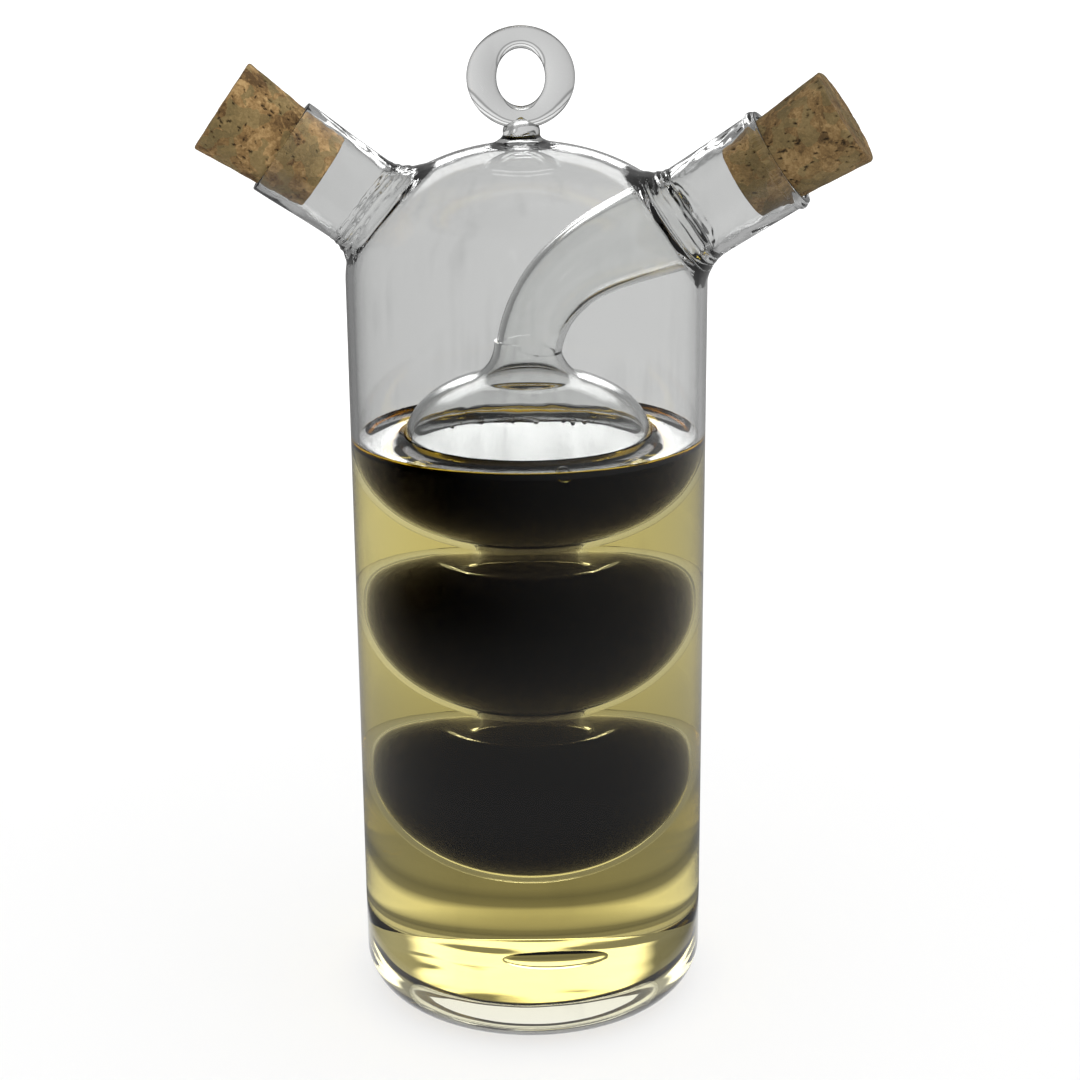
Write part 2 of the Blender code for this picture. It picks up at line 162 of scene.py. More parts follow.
# Hanging ring and its stem
RING_RADIUS = 6.9 * MM
RING_SIDE_BEAD = 2.65 * MM
RING_TOP_BEAD = 1.97 * MM
RING_X = -0.7 * MM
STEM_RADIUS = 3.3 * MM
STEM_SPREAD = 6.4 * MM
STEM_WAIST = 1.3 * MM
STEM_TOP_SHARE = 0.9
STEM_TOP_HANDLE = 1.0 * MM
STEM_LOW_HANDLE = 1.2 * MM
STEM_SKIRT = {"width": 0.4 * MM, "drop": 0.06 * MM, "depth": 0.5 * MM}
STEM_RIPPLE = 0.22 * MM
STEM_RIPPLE_SIZE = 1.6 * MM
STEM_RIPPLE_REACH = 1.5 * MM

# Liquids and their bubbles (froth in mm, and its heading in degrees with its spread)
FILM = 0.06 * MM
MENISCUS_RISE = 1.3 * MM
MENISCUS_REACH = 1.2 * MM
MENISCUS_SPAN = 5.0
FROTH_COUNT = 46
FROTH_SEED = 5
FROTH_SIZES = (0.18, 0.5)
FROTH_HEADING = (88.0, 22.0)
FROTH_SCATTER = 1.1
FROTH_LIFT = 0.3
OIL_BUBBLE_PLACE = (6.0 * MM, -26.6 * MM)
OIL_BUBBLE_RADIUS = 1.3 * MM

# Corks: sizes, pits (in mm where they are drawn by chance) and wear
CORK_LENGTH = 21.0 * MM
CORK_TIP_RADIUS = 7.1 * MM
CORK_HEAD_RADIUS = 8.9 * MM
CORK_EDGE = 0.55 * MM
CORK_INSET = 0.11 * MM
CORK_SIDE_PITS = 330
CORK_END_PITS = 120
CORK_END_FACING = 0.9
PITS_PER_CLUSTER = 4
PIT_CLUSTERED = 0.6
PIT_SCATTER = 1.3 * MM
PIT_SIZES = (0.18, 0.55)
PIT_SLENDERNESS = (0.25, 0.5)
PIT_TURN_SPREAD = 0.7
PIT_REACH = 1.5 * MM
PIT_DEPTH = 0.3 * MM
PIT_STEEPNESS = 1.6
WEAR_SIZE = 2.6 * MM
WEAR_DEPTH = 0.09 * MM
GRAIN_SIZE = 0.7 * MM
GRAIN_DEPTH = 0.03 * MM
GROWTH_LIMIT = 0.04 * MM
CORKS = {
    "oil_cork": {
        "spout": "oil",
        "body": "oil_stopper",
        "look": "pressed_cork",
        "painted_shade": 0.0,
        "seed": 11,
    },
    "vinegar_cork": {
        "spout": "vinegar",
        "body": "vinegar_stopper",
        "look": "shaded_vinegar_cork",
        # Painted shade that darkens this cork all over
        "painted_shade": 0.35,
        "seed": 23,
    },
}

# Mesh fineness
TURNS = 144
CORK_TURNS = 240
NECK_TURNS = 150
STEM_TURNS = 96
DOME_STEPS = 48
SIDE_STEPS = 24
HEEL_STEPS = 16
BASE_STEPS = 60
LOBE_STEPS = 30
FOOT_STEPS = 24
DRAFT_SPACING = 0.35 * MM
VESSEL_SPACING = 0.56 * MM
WAIST_PASSES = 14
MENISCUS_STEPS = 12
RIM_STEPS = 6
TAPER_STEPS = 60
FILLET_STEPS = 36
BORE_RIM_STEPS = 4
BORE_TAPER_STEPS = 6
BORE_STEPS = 24
RING_STEPS = 40
RING_ROD_STEPS = 14
STEM_STEPS = 12
STEM_FLARE_STEPS = 18
PONTIL_STEPS = (96, 48)
RISER_CUTS = 15
RISER_STEPS = 8
RISER_ROD_STEPS = 30
BUBBLE_STEPS = (24, 16)
CORK_EDGE_STEPS = 5
CORK_HEAD_STEPS = 34
CORK_SIDE_STEPS = 90
CORK_TIP_STEPS = 26
OVERRUN = 6.0 * MM
MERGE = 0.001 * MM
LEAST_LENGTH = MERGE / 100.0
GLASS_CREASE = math.radians(42.0)
SOFT_CREASE = math.radians(60.0)

# Material slots of the two glass skins, and of a liquid
DRY, OILED, THICK = 0, 1, 2
ON_VINEGAR = 2
AT_WALLS, SURFACE = 0, 1
SURFACE_DEPTH = 0.1 * MM

# Sockets of a colour mix and of a float mix, which share their names and so go by number
MIX_A, MIX_B, MIX_RESULT = 6, 7, 2
FLOAT_A, FLOAT_B = 2, 3

# Optics: an index of 1 lets light pass unbent where the next wall already bends it
GLASS_INDEX = 1.48
OIL_INDEX = 1.47
VINEGAR_INDEX = 1.466
VESSEL_INDEX = 1.483
BUBBLE_INDEX = 1.2
UNBENT = 1.0
WHITE = (1.0, 1.0, 1.0, 1.0)
CLEAR_GLASS = (0.985, 0.99, 0.985, 1.0)
THICK_GLASS = (0.96, 0.965, 0.96, 1.0)
# Colour that the painted shade at slanted glass edges, and the darker streaks, mix the glass toward
PAINTED_SHADE_AND_STREAK_COLOR = (0.16, 0.165, 0.165, 1.0)
# Wave size and depth of each glass, and the slant where its painted edge shade starts
BODY_WAVES_AND_SHADE = {"size": 70.0, "depth": 0.05 * MM, "painted_shade_start": 0.60}
VESSEL_WAVES_AND_SHADE = {"size": 110.0, "depth": 0.05 * MM, "painted_shade_start": 0.60}
THICK_WAVES_AND_SHADE = {"size": 180.0, "depth": 0.36 * MM, "painted_shade_start": 0.30}
WAVE_STRETCH = {"Scale": (1.0, 1.0, 0.35)}
WAVES = {"Detail": 1.5}
DRAW_STRETCH = {"Scale": (1.0, 1.0, 0.05)}
DRAW_LINES = {"Scale": 260.0, "Detail": 2.0}
DRAW_LINES_SHARE = {1: 0.15}
# Patches of the draw lines that mix the glass darker, and how much
STREAK_PATCHES = {"Scale": 45.0, "Detail": 2.0}
STREAK_DARKNESS = {"From Min": 0.30, "From Max": 0.48, "To Max": 0.14}
REVERSED = {"To Min": 1.0, "To Max": 0.0}
EVEN_EDGE = {"Blend": 0.5}
OIL_DEPTHS = {"Color": (0.90, 0.785, 0.07, 1.0), "Density": 26.0}
VINEGAR_DEPTHS = {"Color": (0.20, 0.16, 0.12, 1.0), "Density": 205.0}

# Cork surface
CORK_TONES = ((0.085, 0.047, 0.017, 1.0), (0.205, 0.122, 0.046, 1.0), (0.36, 0.235, 0.102, 1.0))
CORK_OLIVE = (0.150, 0.118, 0.050, 1.0)
# Painted shade that darkens the vinegar cork all over
CORK_PAINTED_SHADE = (0.045, 0.032, 0.014, 1.0)
# Painted shade in the open pits
CORK_PIT_SHADE = (0.018, 0.010, 0.005, 1.0)
CORK_WARP = {"Scale": 420.0, "Detail": 4.0}
CORK_WARP_REACH = {1: (2.2 * MM, 2.2 * MM, 2.2 * MM)}
CORK_GRANULES = {"Scale": 430.0}
CORK_CRUMBS = {"Scale": 1300.0}
CORK_GRAIN = {"Scale": 2200.0, "Detail": 5.0}
CORK_BLOTCHES = {"Scale": 190.0, "Detail": 3.0}
CORK_WEIGHTS = (0.30, 0.22, 0.9, 0.55)
CORK_SHADE = {"From Min": 0.72, "From Max": 1.30}
CORK_OLIVE_SHARE = {"From Min": 0.52, "From Max": 0.66, "To Max": 0.6}
CORK_RELIEF = {"Strength": 0.8, "Distance": 0.3 * MM}
CORK_FINISH = {"Roughness": 0.85, "Specular IOR Level": 0.2}

# Studio: strength of the back panel and of the rest of the room against the height of a direction
PANEL = (
    (0.0, 0.62),
    (0.06, 0.85),
    (0.13, 3.4),
    (0.18, 4.3),
    (0.286, 4.2),
    (0.300, 0.3),
    (0.36, 0.3),
    (0.41, 2.3),
    (0.54, 2.3),
    (0.60, 0.3),
    (0.72, 0.2),
    (1.0, 0.3),
)
PANEL_STEP = {"From Min": 0.31, "From Max": 0.38}
PANEL_WIDTHS = ((0.955, 0.80), (0.985, 0.90))
ROOM_BANDS = (
    (0.0, 1.0),
    (0.10, 1.0),
    (0.17, 0.50),
    (0.25, 1.25),
    (0.31, 1.25),
    (0.37, 0.35),
    (0.42, 1.50),
    (0.54, 1.50),
    (0.60, 0.30),
    (0.70, 1.20),
    (0.80, 0.35),
    (1.0, 0.8),
)
FRONT_LIGHT = {"To Min": 0.36, "To Max": 0.12}
SIDE_LIGHT = {"To Min": 0.64, "To Max": 0.34}
SIDE_TURN = {"From Min": -0.35, "From Max": 0.75}
SIDE_LEAN = {1: 0.15}
LEVEL_PART = {1: (1.0, 1.0, 0.0)}
ANY_BOUNCE = {1: 0.5}
FILL_HEADING = {1: (0.505, -0.303, 0.808)}
FILL = {"From Min": -1.0, "To Min": 0.25, "To Max": 1.75}
FILL_REGAINED = {"From Max": 2.0, "To Min": 1.0, "To Max": 1.6}
FILL_FROM_FLOOR = {FLOAT_B: 0.6}
WHITE_TO_THE_EYE = {FLOAT_B: 1.0}
FLOOR_FINISH = {"Base Color": (0.8, 0.8, 0.8, 1.0), "Roughness": 0.7, "Specular IOR Level": 0.0}
FLOOR_LIT = {"Color": (0.2, 0.2, 0.2, 1.0)}
# Floor that glass and mirrored light see, (distance from the middle, strength): a painted pool of light
# under and round the base, a painted shadow in a ring outside it, and paler floor farther out
FLOOR_PAINTED_LIGHT_AND_SHADOW = (
    (0.0, 0.95),
    (0.0503, 0.95),
    (0.0509, 0.16),
    (0.0535, 0.16),
    (0.060, 0.28),
    (0.072, 0.26),
    (0.090, 0.26),
    (0.140, 0.42),
    (0.220, 0.55),
    (1.0, 0.60),
)
FLOOR_INTO_ROOM = {"From Min": 0.12, "From Max": 0.30}
FLOOR_TO_THE_EYE = {"From Min": 0.10, "From Max": 0.70, "To Min": 0.70, "To Max": 1.0}
FLOOR_RADIUS = 8.0
FLOOR_SIDES = 96
LAMPS = (
    ("left_softbox", (-0.6, -0.7, 0.5), (0.5, 0.5), 0.3),
    ("right_softbox", (0.8, -0.4, 0.4), (0.5, 0.5), 0.5),
    ("top_softbox", (0.0, 0.1, 0.9), (0.8, 0.8), 1.2),
)
LAMP_TARGET = (0.0, 0.0, 0.1)
CAMERA_LENS = 70.0
CAMERA_SENSOR = 36.0
CAMERA_PLACE = (0.0020, -0.3759, 0.1998)
CAMERA_TILT = math.radians(73.5)
CAMERA_ROLL = math.radians(-0.485)
LIGHT_BOUNCES = 32


def deselect():
    bpy.ops.object.select_all(action="DESELECT")


def activate(item):
    deselect()
    item.select_set(True)
    bpy.context.view_layer.objects.active = item


def turned(name, line, turns=TURNS):
    """Draw a line of (radius, height) points by extruding a vertex, and spin it about Z."""
    deselect()
    bpy.ops.mesh.primitive_plane_add(size=MM)
    item = bpy.context.active_object
    item.name = name
    item.data.name = name
    bpy.ops.object.mode_set(mode="EDIT")
    bpy.ops.mesh.select_all(action="SELECT")
    bpy.ops.mesh.merge(type="CENTER")
    bpy.ops.transform.translate(value=(line[0][0], 0.0, line[0][1]))
    for before, after in zip(line, line[1:]):
        step = (after[0] - before[0], 0.0, after[1] - before[1])
        bpy.ops.mesh.extrude_region_move(TRANSFORM_OT_translate={"value": step})
    bpy.ops.mesh.select_all(action="SELECT")
    bpy.ops.mesh.spin(steps=turns, angle=FULL_TURN, center=(0.0, 0.0, 0.0), axis=(0.0, 0.0, 1.0))
    bpy.ops.mesh.select_all(action="SELECT")
    bpy.ops.mesh.remove_doubles(threshold=MERGE)
    bpy.ops.mesh.normals_make_consistent(inside=False)
    bpy.ops.object.mode_set(mode="OBJECT")
    return item


def place(item, matrix):
    """Move a finished mesh to its place, with its object left at the origin."""
    activate(item)
    item.matrix_world = matrix
    bpy.ops.object.transform_apply(location=True, rotation=True, scale=True)


def combine(item, tool, operation):
    """Join or cut an object with another one, which is used up."""
    activate(item)
    bpy.ops.object.modifier_add(type="BOOLEAN")
    boolean = item.modifiers[-1]
    boolean.operation = operation
    boolean.solver = "EXACT"
    boolean.object = tool
    bpy.ops.object.modifier_apply(modifier=boolean.name)
    bpy.data.objects.remove(tool, do_unlink=True)


def tidy(item, smooth_angle):
    """Merge double points, turn all faces outward and smooth what is flatter than an angle."""
    activate(item)
    bpy.ops.object.mode_set(mode="EDIT")
    bpy.ops.mesh.select_all(action="SELECT")
    bpy.ops.mesh.remove_doubles(threshold=MERGE)
    bpy.ops.mesh.normals_make_consistent(inside=False)
    bpy.ops.object.mode_set(mode="OBJECT")
    bpy.ops.object.shade_smooth_by_angle(angle=smooth_angle)


def paint(item, slot_of_face, materials):
    """Give an object its materials, with each face's slot chosen by a function."""
    for material in materials:
        item.data.materials.append(material)
    for face in item.data.polygons:
        face.material_index = slot_of_face(face)


def finish_piece(item, body, slot, *nodes):
    """Name a piece's body and the nodes it stands for; its slot argument is not used."""
    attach(item, body)
    if nodes:
        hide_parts(*nodes)


# Outlines


def ease(share):
    share = min(max(share, 0.0), 1.0)
    return share * share * (3.0 - 2.0 * share)


def arc(centre, across, up, start, end, steps):
    """Points along an elliptic arc, both ends included."""
    points = []
    for step in range(steps + 1):
        angle = start + (end - start) * step / steps
        points.append((centre[0] + across * math.cos(angle), centre[1] + up * math.sin(angle)))
    return points


def straight(start, end, steps):
    """Points after the start of a straight stretch, up to its end."""
    return [
        tuple(a + (b - a) * step / steps for a, b in zip(start, end)) for step in range(1, steps + 1)
    ]


def flare(start, wide, high, steps):
    """Quarter of an ellipse that leaves an upright wall and spreads out level, downward."""
    points = []
    for step in range(1, steps + 1):
        angle = QUARTER_TURN * step / steps
        points.append((start[0] + wide * (1.0 - math.cos(angle)), start[1] - high * math.sin(angle)))
    return points


def skirt(end, width, drop, depth):
    """Points that carry a flared root into the glass it joins, and close it."""
    return [(end[0] + width, end[1] - drop), (end[0] + width, end[1] - depth), (0.0, end[1] - depth)]


def bend(points, share):
    """Point of a cubic curve with four control points."""
    rest = 1.0 - share
    weights = (rest**3, 3.0 * rest**2 * share, 3.0 * rest * share**2, share**3)
    parts = [Vector(point) * weight for point, weight in zip(points, weights)]
    return sum(parts, Vector(points[0]) * 0.0)


def body_line(inset):
    """Outline of the outer flask from its crown down to the middle of its base, moved inward."""
    radius = BODY_RADIUS - inset
    heel = HEEL_RADIUS - inset
    line = arc((0.0, SHOULDER), radius, DOME_RISE - inset, QUARTER_TURN, 0.0, DOME_STEPS)
    line[0] = (0.0, line[0][1])
    line += straight(line[-1], (radius, HEEL_RADIUS), SIDE_STEPS)
    line += arc((BODY_RADIUS - HEEL_RADIUS, HEEL_RADIUS), heel, heel, 0.0, -QUARTER_TURN, HEEL_STEPS)[1:]
    for step in range(1, BASE_STEPS + 1):
        radius = (BODY_RADIUS - HEEL_RADIUS) * (1.0 - step / BASE_STEPS)
        line.append((radius, inset + kick_height(radius)))
    return line


def kick_height(radius):
    """Height of the pushed-up base over the foot it stands on."""
    fall = ease((radius - KICK_FLAT_RADIUS) / (KICK_FOOT_RADIUS - KICK_FLAT_RADIUS))
    return KICK_RISE * (1.0 - KICK_SAG * (radius / KICK_FLAT_RADIUS) ** 2) * (1.0 - fall)


def half_lobe(centre, half, radius, power, end_radius, direction):
    """Super-ellipse points from the widest ring to an end radius, upward or downward."""
    last = math.acos((end_radius / radius) ** (power / 2.0))
    points = []
    for step in range(LOBE_STEPS + 1):
        angle = last * step / LOBE_STEPS
        across = radius * math.cos(angle) ** (2.0 / power)
        height = half * math.sin(angle) ** (2.0 / power)
        points.append((across, centre + direction * height))
    points[-1] = (end_radius, points[-1][1])
    return points


def waist_half(reach, radius, power):
    """Half height of a lobe that is cut off at the waist within its reach."""
    narrow = (WAIST_RADIUS / radius) ** power
    return (reach - WAIST_LENGTH / 2.0) / (1.0 - narrow) ** (1.0 / power)


def dimple(radius):
    """How far a lobe's shoulder sinks in round the waist above it."""
    return DIMPLE_DEPTH * ease((DIMPLE_RADIUS - radius) / (DIMPLE_RADIUS - WAIST_RADIUS))


def soften(line, heights, reach, passes):
    """Round the line off near some heights, by moving points between their neighbours."""
    for _ in range(passes):
        moved = list(line)
        for index in range(1, len(line) - 1):
            if min(abs(line[index][1] - height) for height in heights) < reach:
                moved[index] = tuple(
                    (line[index - 1][axis] + 2.0 * line[index][axis] + line[index + 1][axis]) / 4.0
                    for axis in (0, 1)
                )
        line = moved
    return line


def resample(line, spacing):
    """The same line with points at an even spacing."""
    lengths = [0.0]
    for before, after in zip(line, line[1:]):
        lengths.append(lengths[-1] + math.dist(before, after))
    count = max(int(lengths[-1] / spacing), 2)
    points = []
    index = 0
    for step in range(count + 1):
        target = lengths[-1] * step / count
        while index < len(lengths) - 2 and lengths[index + 1] < target:
            index += 1
        share = (target - lengths[index]) / max(lengths[index + 1] - lengths[index], LEAST_LENGTH)
        points.append(tuple(a + (b - a) * share for a, b in zip(line[index], line[index + 1])))
    return points


def vessel_line():
    """Outside of the inner flask from the middle of its bottom up to the riser's neck."""
    line = []
    waists = []
    base = VESSEL_BOTTOM
    for number, lobe in enumerate(LOBES):
        centre = base + lobe["drop"]
        radius = lobe["radius"]
        top = number == len(LOBES) - 1
        low_power = TOP_UNDERSIDE_POWER if top else UNDERSIDE_POWER
        if number == 0:
            under = half_lobe(centre, lobe["drop"], radius, low_power, 0.0, -1.0)
        else:
            half = waist_half(lobe["drop"], radius, low_power)
            under = half_lobe(centre, half, radius, low_power, WAIST_RADIUS, -1.0)
            waists.append(base)
        line += reversed(under)
        if top:
            line += half_lobe(centre, lobe["rise"], radius, CROWN_POWER, FOOT_SPREAD, 1.0)[1:]
        else:
            half = waist_half(lobe["rise"], radius, SHOULDER_POWER)
            shoulder = half_lobe(centre, half, radius, SHOULDER_POWER, WAIST_RADIUS, 1.0)[1:]
            line += [(across, height - dimple(across)) for across, height in shoulder]
        base = centre + lobe["rise"]
    start = Vector(line[-1])
    slope = (start - Vector(line[-2])).normalized()
    foot = [start, start + slope * FOOT_LOW_HANDLE]
    foot += [(RISER_NECK_RADIUS, FOOT_TOP - FOOT_TOP_HANDLE), (RISER_NECK_RADIUS, FOOT_TOP)]
    line += [tuple(bend(foot, step / FOOT_STEPS)) for step in range(1, FOOT_STEPS + 1)]
    line = soften(resample(line, DRAFT_SPACING), waists, WAIST_FILLET, WAIST_PASSES)
    return resample(line, VESSEL_SPACING)


def moved_inward(line, distance):
    """The line moved to its inner side, which is on its left as it runs up."""
    points = []
    for index, point in enumerate(line):
        before = Vector(line[max(index - 1, 0)])
        after = Vector(line[min(index + 1, len(line) - 1)])
        along = (after - before).normalized()
        points.append((point[0] - along.y * distance, point[1] + along.x * distance))
    points[0] = (0.0, line[0][1] + distance)
    return points


def up_to(line, level):
    """The first stretch of a rising line, cut off exactly at a level."""
    points = []
    for before, after in zip(line, line[1:]):
        points.append(before)
        if before[1] <= level < after[1]:
            share = (level - before[1]) / (after[1] - before[1])
            points.append((before[0] + (after[0] - before[0]) * share, level))
            return points
    return line


def meniscus(radius, direction, level):
    """Liquid surface from a wall it wets, curving down to its level, away from the wall."""
    points = []
    for step in range(MENISCUS_STEPS + 1):
        away = MENISCUS_REACH * MENISCUS_SPAN * (step / MENISCUS_STEPS) ** 2
        height = level + MENISCUS_RISE * math.exp(-away / MENISCUS_REACH)
        points.append((radius + direction * away, height))
    return points


# Spouts


class Spout:
    """A tilted glass neck on the dome, with its own frame: +Z out of the mouth."""

    def __init__(self, sizes):
        self.turn = sizes["turn"]
        self.length = sizes["length"]
        self.inserted = sizes["inserted"]
        self.mouth_wall = sizes["mouth_wall"]
        self.wall = sizes["wall"]
        self.lip = sizes["lip"]
        self.fillet = sizes["fillet"]
        self.under_share = sizes["under_share"]
        self.trumpet = sizes["trumpet"]
        self.seed = sizes["seed"]
        across = Vector((math.cos(self.turn), math.sin(self.turn), 0.0))
        reach = BODY_RADIUS * math.sqrt(1.0 - (sizes["root_rise"] / DOME_RISE) ** 2)
        self.direction = across * math.cos(sizes["elevation"]) + UP * math.sin(sizes["elevation"])
        self.root = across * reach + UP * (SHOULDER + sizes["root_rise"])
        self.mouth = self.root + self.direction * self.length
        self.side = UP.cross(across)
        self.under = self.side.cross(self.direction)
        self.matrix = Matrix.Translation(self.mouth) @ Matrix(
            [[self.under[i], self.side[i], self.direction[i]] for i in range(3)]
        ).to_4x4()
        self.neck_radius = BORE_RADIUS + self.wall
        self.mouth_radius = self.bore_radius(0.0) + self.mouth_wall

    def bore_radius(self, depth):
        """Radius of the bore, which opens like the cork down to the cork's tip."""
        share = max(self.inserted - depth, 0.0) / CORK_LENGTH
        return BORE_RADIUS + (CORK_HEAD_RADIUS - CORK_TIP_RADIUS) * share

    def dome_depth(self, across, aside, inset):
        """Depth below the mouth at which a line beside the axis meets the dome."""
        start = self.mouth + self.under * across + self.side * aside
        scale = Vector((1.0 / (BODY_RADIUS - inset),) * 2 + (1.0 / (DOME_RISE - inset),))
        start = (start - UP * SHOULDER) * scale
        heading = -self.direction * scale
        half = start.dot(heading)
        spread = half * half - heading.length_squared * (start.length_squared - 1.0)
        return (-half - math.sqrt(max(spread, 0.0))) / heading.length_squared

    def lower(self, item, inset, flat_end, root_start):
        """Bend a straight-rooted turned shape so that its flat root lies on the dome."""
        for vertex in item.data.vertices:
            depth = -vertex.co.z
            share = min(max((depth - flat_end) / (root_start - flat_end), 0.0), 1.0)
            if share > 0.0:
                centre = self.dome_depth(0.0, 0.0, inset)
                shift = self.dome_depth(vertex.co.x, vertex.co.y, inset) - centre
                vertex.co.z -= shift * ease(share)

    def finish(self, item, least, grown, inset, root_start):
        """Ripple a turned neck or bore, lay its root on the dome and put it in its place."""
        for vertex in item.data.vertices:
            radius = math.hypot(vertex.co.x, vertex.co.y)
            if radius >= least:
                angle = math.atan2(vertex.co.y, vertex.co.x)
                scale = grown(radius, -vertex.co.z, angle) / radius
                vertex.co.x *= scale
                vertex.co.y *= scale
        self.lower(item, inset, self.inserted, root_start)
        place(item, self.matrix)
        return item


def bead(spout, depth, angle):
    """Height of the weld's ripples at a depth, which wander round the neck."""
    way = Vector((math.cos(angle), math.sin(angle), spout.seed)) * WELD_CHANGES
    wobble = noise.noise(way) * WELD_WANDER
    window = math.exp(-(((depth - spout.length + WELD_PLACE) / WELD_REACH) ** 2))
    strength = WELD_STRENGTH + WELD_UNEVENNESS * noise.noise(way * WELD_PATCHES + WELD_PATCHES_START)
    return window * strength * WELD_HEIGHT * math.sin(FULL_TURN * depth / WELD_PITCH + wobble)


def neck(spout, name):
    """Outside of a neck: rim, slow taper, lip if it has one, and a fillet onto the dome."""
    root_start = spout.length - spout.fillet
    rim = (spout.mouth_radius - RIM_ROUND, -RIM_ROUND)
    line = [(0.0, 0.0)]
    line += arc(rim, RIM_ROUND, RIM_ROUND, QUARTER_TURN, 0.0, RIM_STEPS)
    for step in range(1, TAPER_STEPS + 1):
        depth = RIM_ROUND + (root_start - RIM_ROUND) * step / TAPER_STEPS
        taper = ease(depth / root_start)
        radius = spout.mouth_radius + (spout.neck_radius - spout.mouth_radius) * taper
        if depth < LIP_LENGTH:
            radius += spout.lip * math.sin(math.pi * (depth - RIM_ROUND) / (LIP_LENGTH - RIM_ROUND))
        line.append((radius, -depth))
    line += flare((spout.neck_radius, -root_start), spout.fillet, spout.fillet, FILLET_STEPS)
    line += skirt(line[-1], **ROOT_SKIRT)

    def grown(radius, depth, angle):
        under = 0.5 + 0.5 * math.cos(angle)
        share = 1.0 + (spout.under_share - 1.0) * under
        excess = max(radius - spout.neck_radius, 0.0) if depth > root_start else 0.0
        return radius - excess + excess * share + bead(spout, depth, angle)

    least = spout.neck_radius - RIM_ROUND
    return spout.finish(turned(name, line, NECK_TURNS), least, grown, 0.0, root_start)


def bore(spout, name):
    """Cutter for a bore that fits the cork and may widen into the dome."""
    root_start = spout.dome_depth(0.0, 0.0, BODY_WALL) - spout.trumpet
    rim_radius = spout.bore_radius(0.0) + RIM_ROUND
    line = [(0.0, OVERRUN), (rim_radius, OVERRUN), (rim_radius, 0.0)]
    line += arc((rim_radius, -RIM_ROUND), -RIM_ROUND, RIM_ROUND, QUARTER_TURN, 0.0, BORE_RIM_STEPS)[1:]
    line += straight(line[-1], (BORE_RADIUS, -spout.inserted), BORE_TAPER_STEPS)
    line += straight(line[-1], (BORE_RADIUS, -root_start), BORE_STEPS)
    if spout.trumpet:
        line += flare((BORE_RADIUS, -root_start), spout.trumpet, spout.trumpet, BORE_STEPS)
    end = line[-1]
    line += [(end[0], end[1] - OVERRUN / 2.0), (0.0, end[1] - OVERRUN / 2.0)]

    def grown(radius, depth, angle):
        return radius + bead(spout, depth, angle) * WELD_IN_BORE

    least = BORE_RADIUS - RIM_ROUND
    return spout.finish(turned(name, line, NECK_TURNS), least, grown, BODY_WALL, root_start)


# Glass pieces


def dome_height(x, y):
    return SHOULDER + DOME_RISE * math.sqrt(max(1.0 - (x * x + y * y) / BODY_RADIUS**2, 0.0))


def as_mesh(crease):
    """Turn the active curve into a smooth closed mesh."""
    bpy.ops.object.convert(target="MESH")
    item = bpy.context.active_object
    bpy.ops.object.transform_apply(location=True, rotation=True, scale=True)
    tidy(item, crease)
    return item


def ring_rod(centre):
    """Ring bent from a rod that is thinner at its top and bottom."""
    deselect()
    bpy.ops.curve.primitive_bezier_circle_add(
        radius=RING_RADIUS, location=(RING_X, 0.0, centre), rotation=(QUARTER_TURN, 0.0, 0.0)
    )
    ring = bpy.context.active_object
    ring.name = "ring"
    ring.data.bevel_depth = RING_TOP_BEAD
    ring.data.bevel_resolution = RING_ROD_STEPS
    ring.data.resolution_u = RING_STEPS
    ring.data.splines[0].radius_interpolation = "EASE"
    for point in ring.data.splines[0].bezier_points:
        if abs(point.co.x) > RING_RADIUS / 2.0:
            point.radius = RING_SIDE_BEAD / RING_TOP_BEAD
    return as_mesh(math.pi)


def ring_stem(low):
    """Stem from the ring's lowest rod, rippled where it was drawn, that spreads onto the crown."""
    waist = CROWN + STEM_WAIST
    top_radius = RING_TOP_BEAD * STEM_TOP_SHARE
    side = [
        (top_radius, low),
        (STEM_RADIUS * STEM_TOP_SHARE, low - STEM_TOP_HANDLE),
        (STEM_RADIUS, waist + STEM_LOW_HANDLE),
        (STEM_RADIUS, waist),
    ]
    line = [(0.0, low), (top_radius, low)]
    line += [tuple(bend(side, step / STEM_STEPS)) for step in range(1, STEM_STEPS + 1)]
    line += flare((STEM_RADIUS, waist), STEM_SPREAD - STEM_RADIUS, waist - CROWN, STEM_FLARE_STEPS)
    line += skirt((STEM_SPREAD, CROWN), **STEM_SKIRT)
    stem = turned("stem", line, STEM_TURNS)
    for vertex in stem.data.vertices:
        vertex.co.x += RING_X
        share = ease((waist - vertex.co.z) / (waist - CROWN))
        vertex.co.z -= (CROWN - dome_height(vertex.co.x, vertex.co.y)) * share
        window = math.exp(-(((vertex.co.z - waist) / STEM_RIPPLE_REACH) ** 2))
        ripple = noise.noise(vertex.co * (1.0 / STEM_RIPPLE_SIZE)) * STEM_RIPPLE * window
        outward = Vector((vertex.co.x - RING_X, vertex.co.y, 0.0))
        if outward.length > MM:
            vertex.co += outward.normalized() * ripple
    return stem


def hanging_ring():
    """Ring on its stem, as one piece of thick glass."""
    centre = RING_TOP - RING_TOP_BEAD - RING_RADIUS
    ring = ring_rod(centre)
    combine(ring, ring_stem(centre - RING_RADIUS), "UNION")
    ring.data.materials.clear()
    return ring


def ripple_base(flask):
    """Slow unevenness of the pushed-up base."""
    for vertex in flask.data.vertices:
        radius = math.hypot(vertex.co.x, vertex.co.y)
        if vertex.co.z < HEEL_RADIUS and radius < KICK_FOOT_RADIUS:
            lifted = kick_height(radius) / KICK_RISE
            vertex.co.z += noise.noise(vertex.co * KICK_RIPPLES_PER_METRE) * KICK_RIPPLE * lifted


def pontil_mark():
    """Shallow round mark where the glassblower's iron held the base."""
    deselect()
    around, high = PONTIL_STEPS
    bpy.ops.mesh.primitive_uv_sphere_add(
        segments=around, ring_count=high, radius=PONTIL_RADIUS, location=PONTIL_PLACE
    )
    pontil = bpy.context.active_object
    pontil.scale.z = PONTIL_DEPTH / PONTIL_RADIUS
    bpy.ops.object.transform_apply(location=True, rotation=True, scale=True)
    return pontil


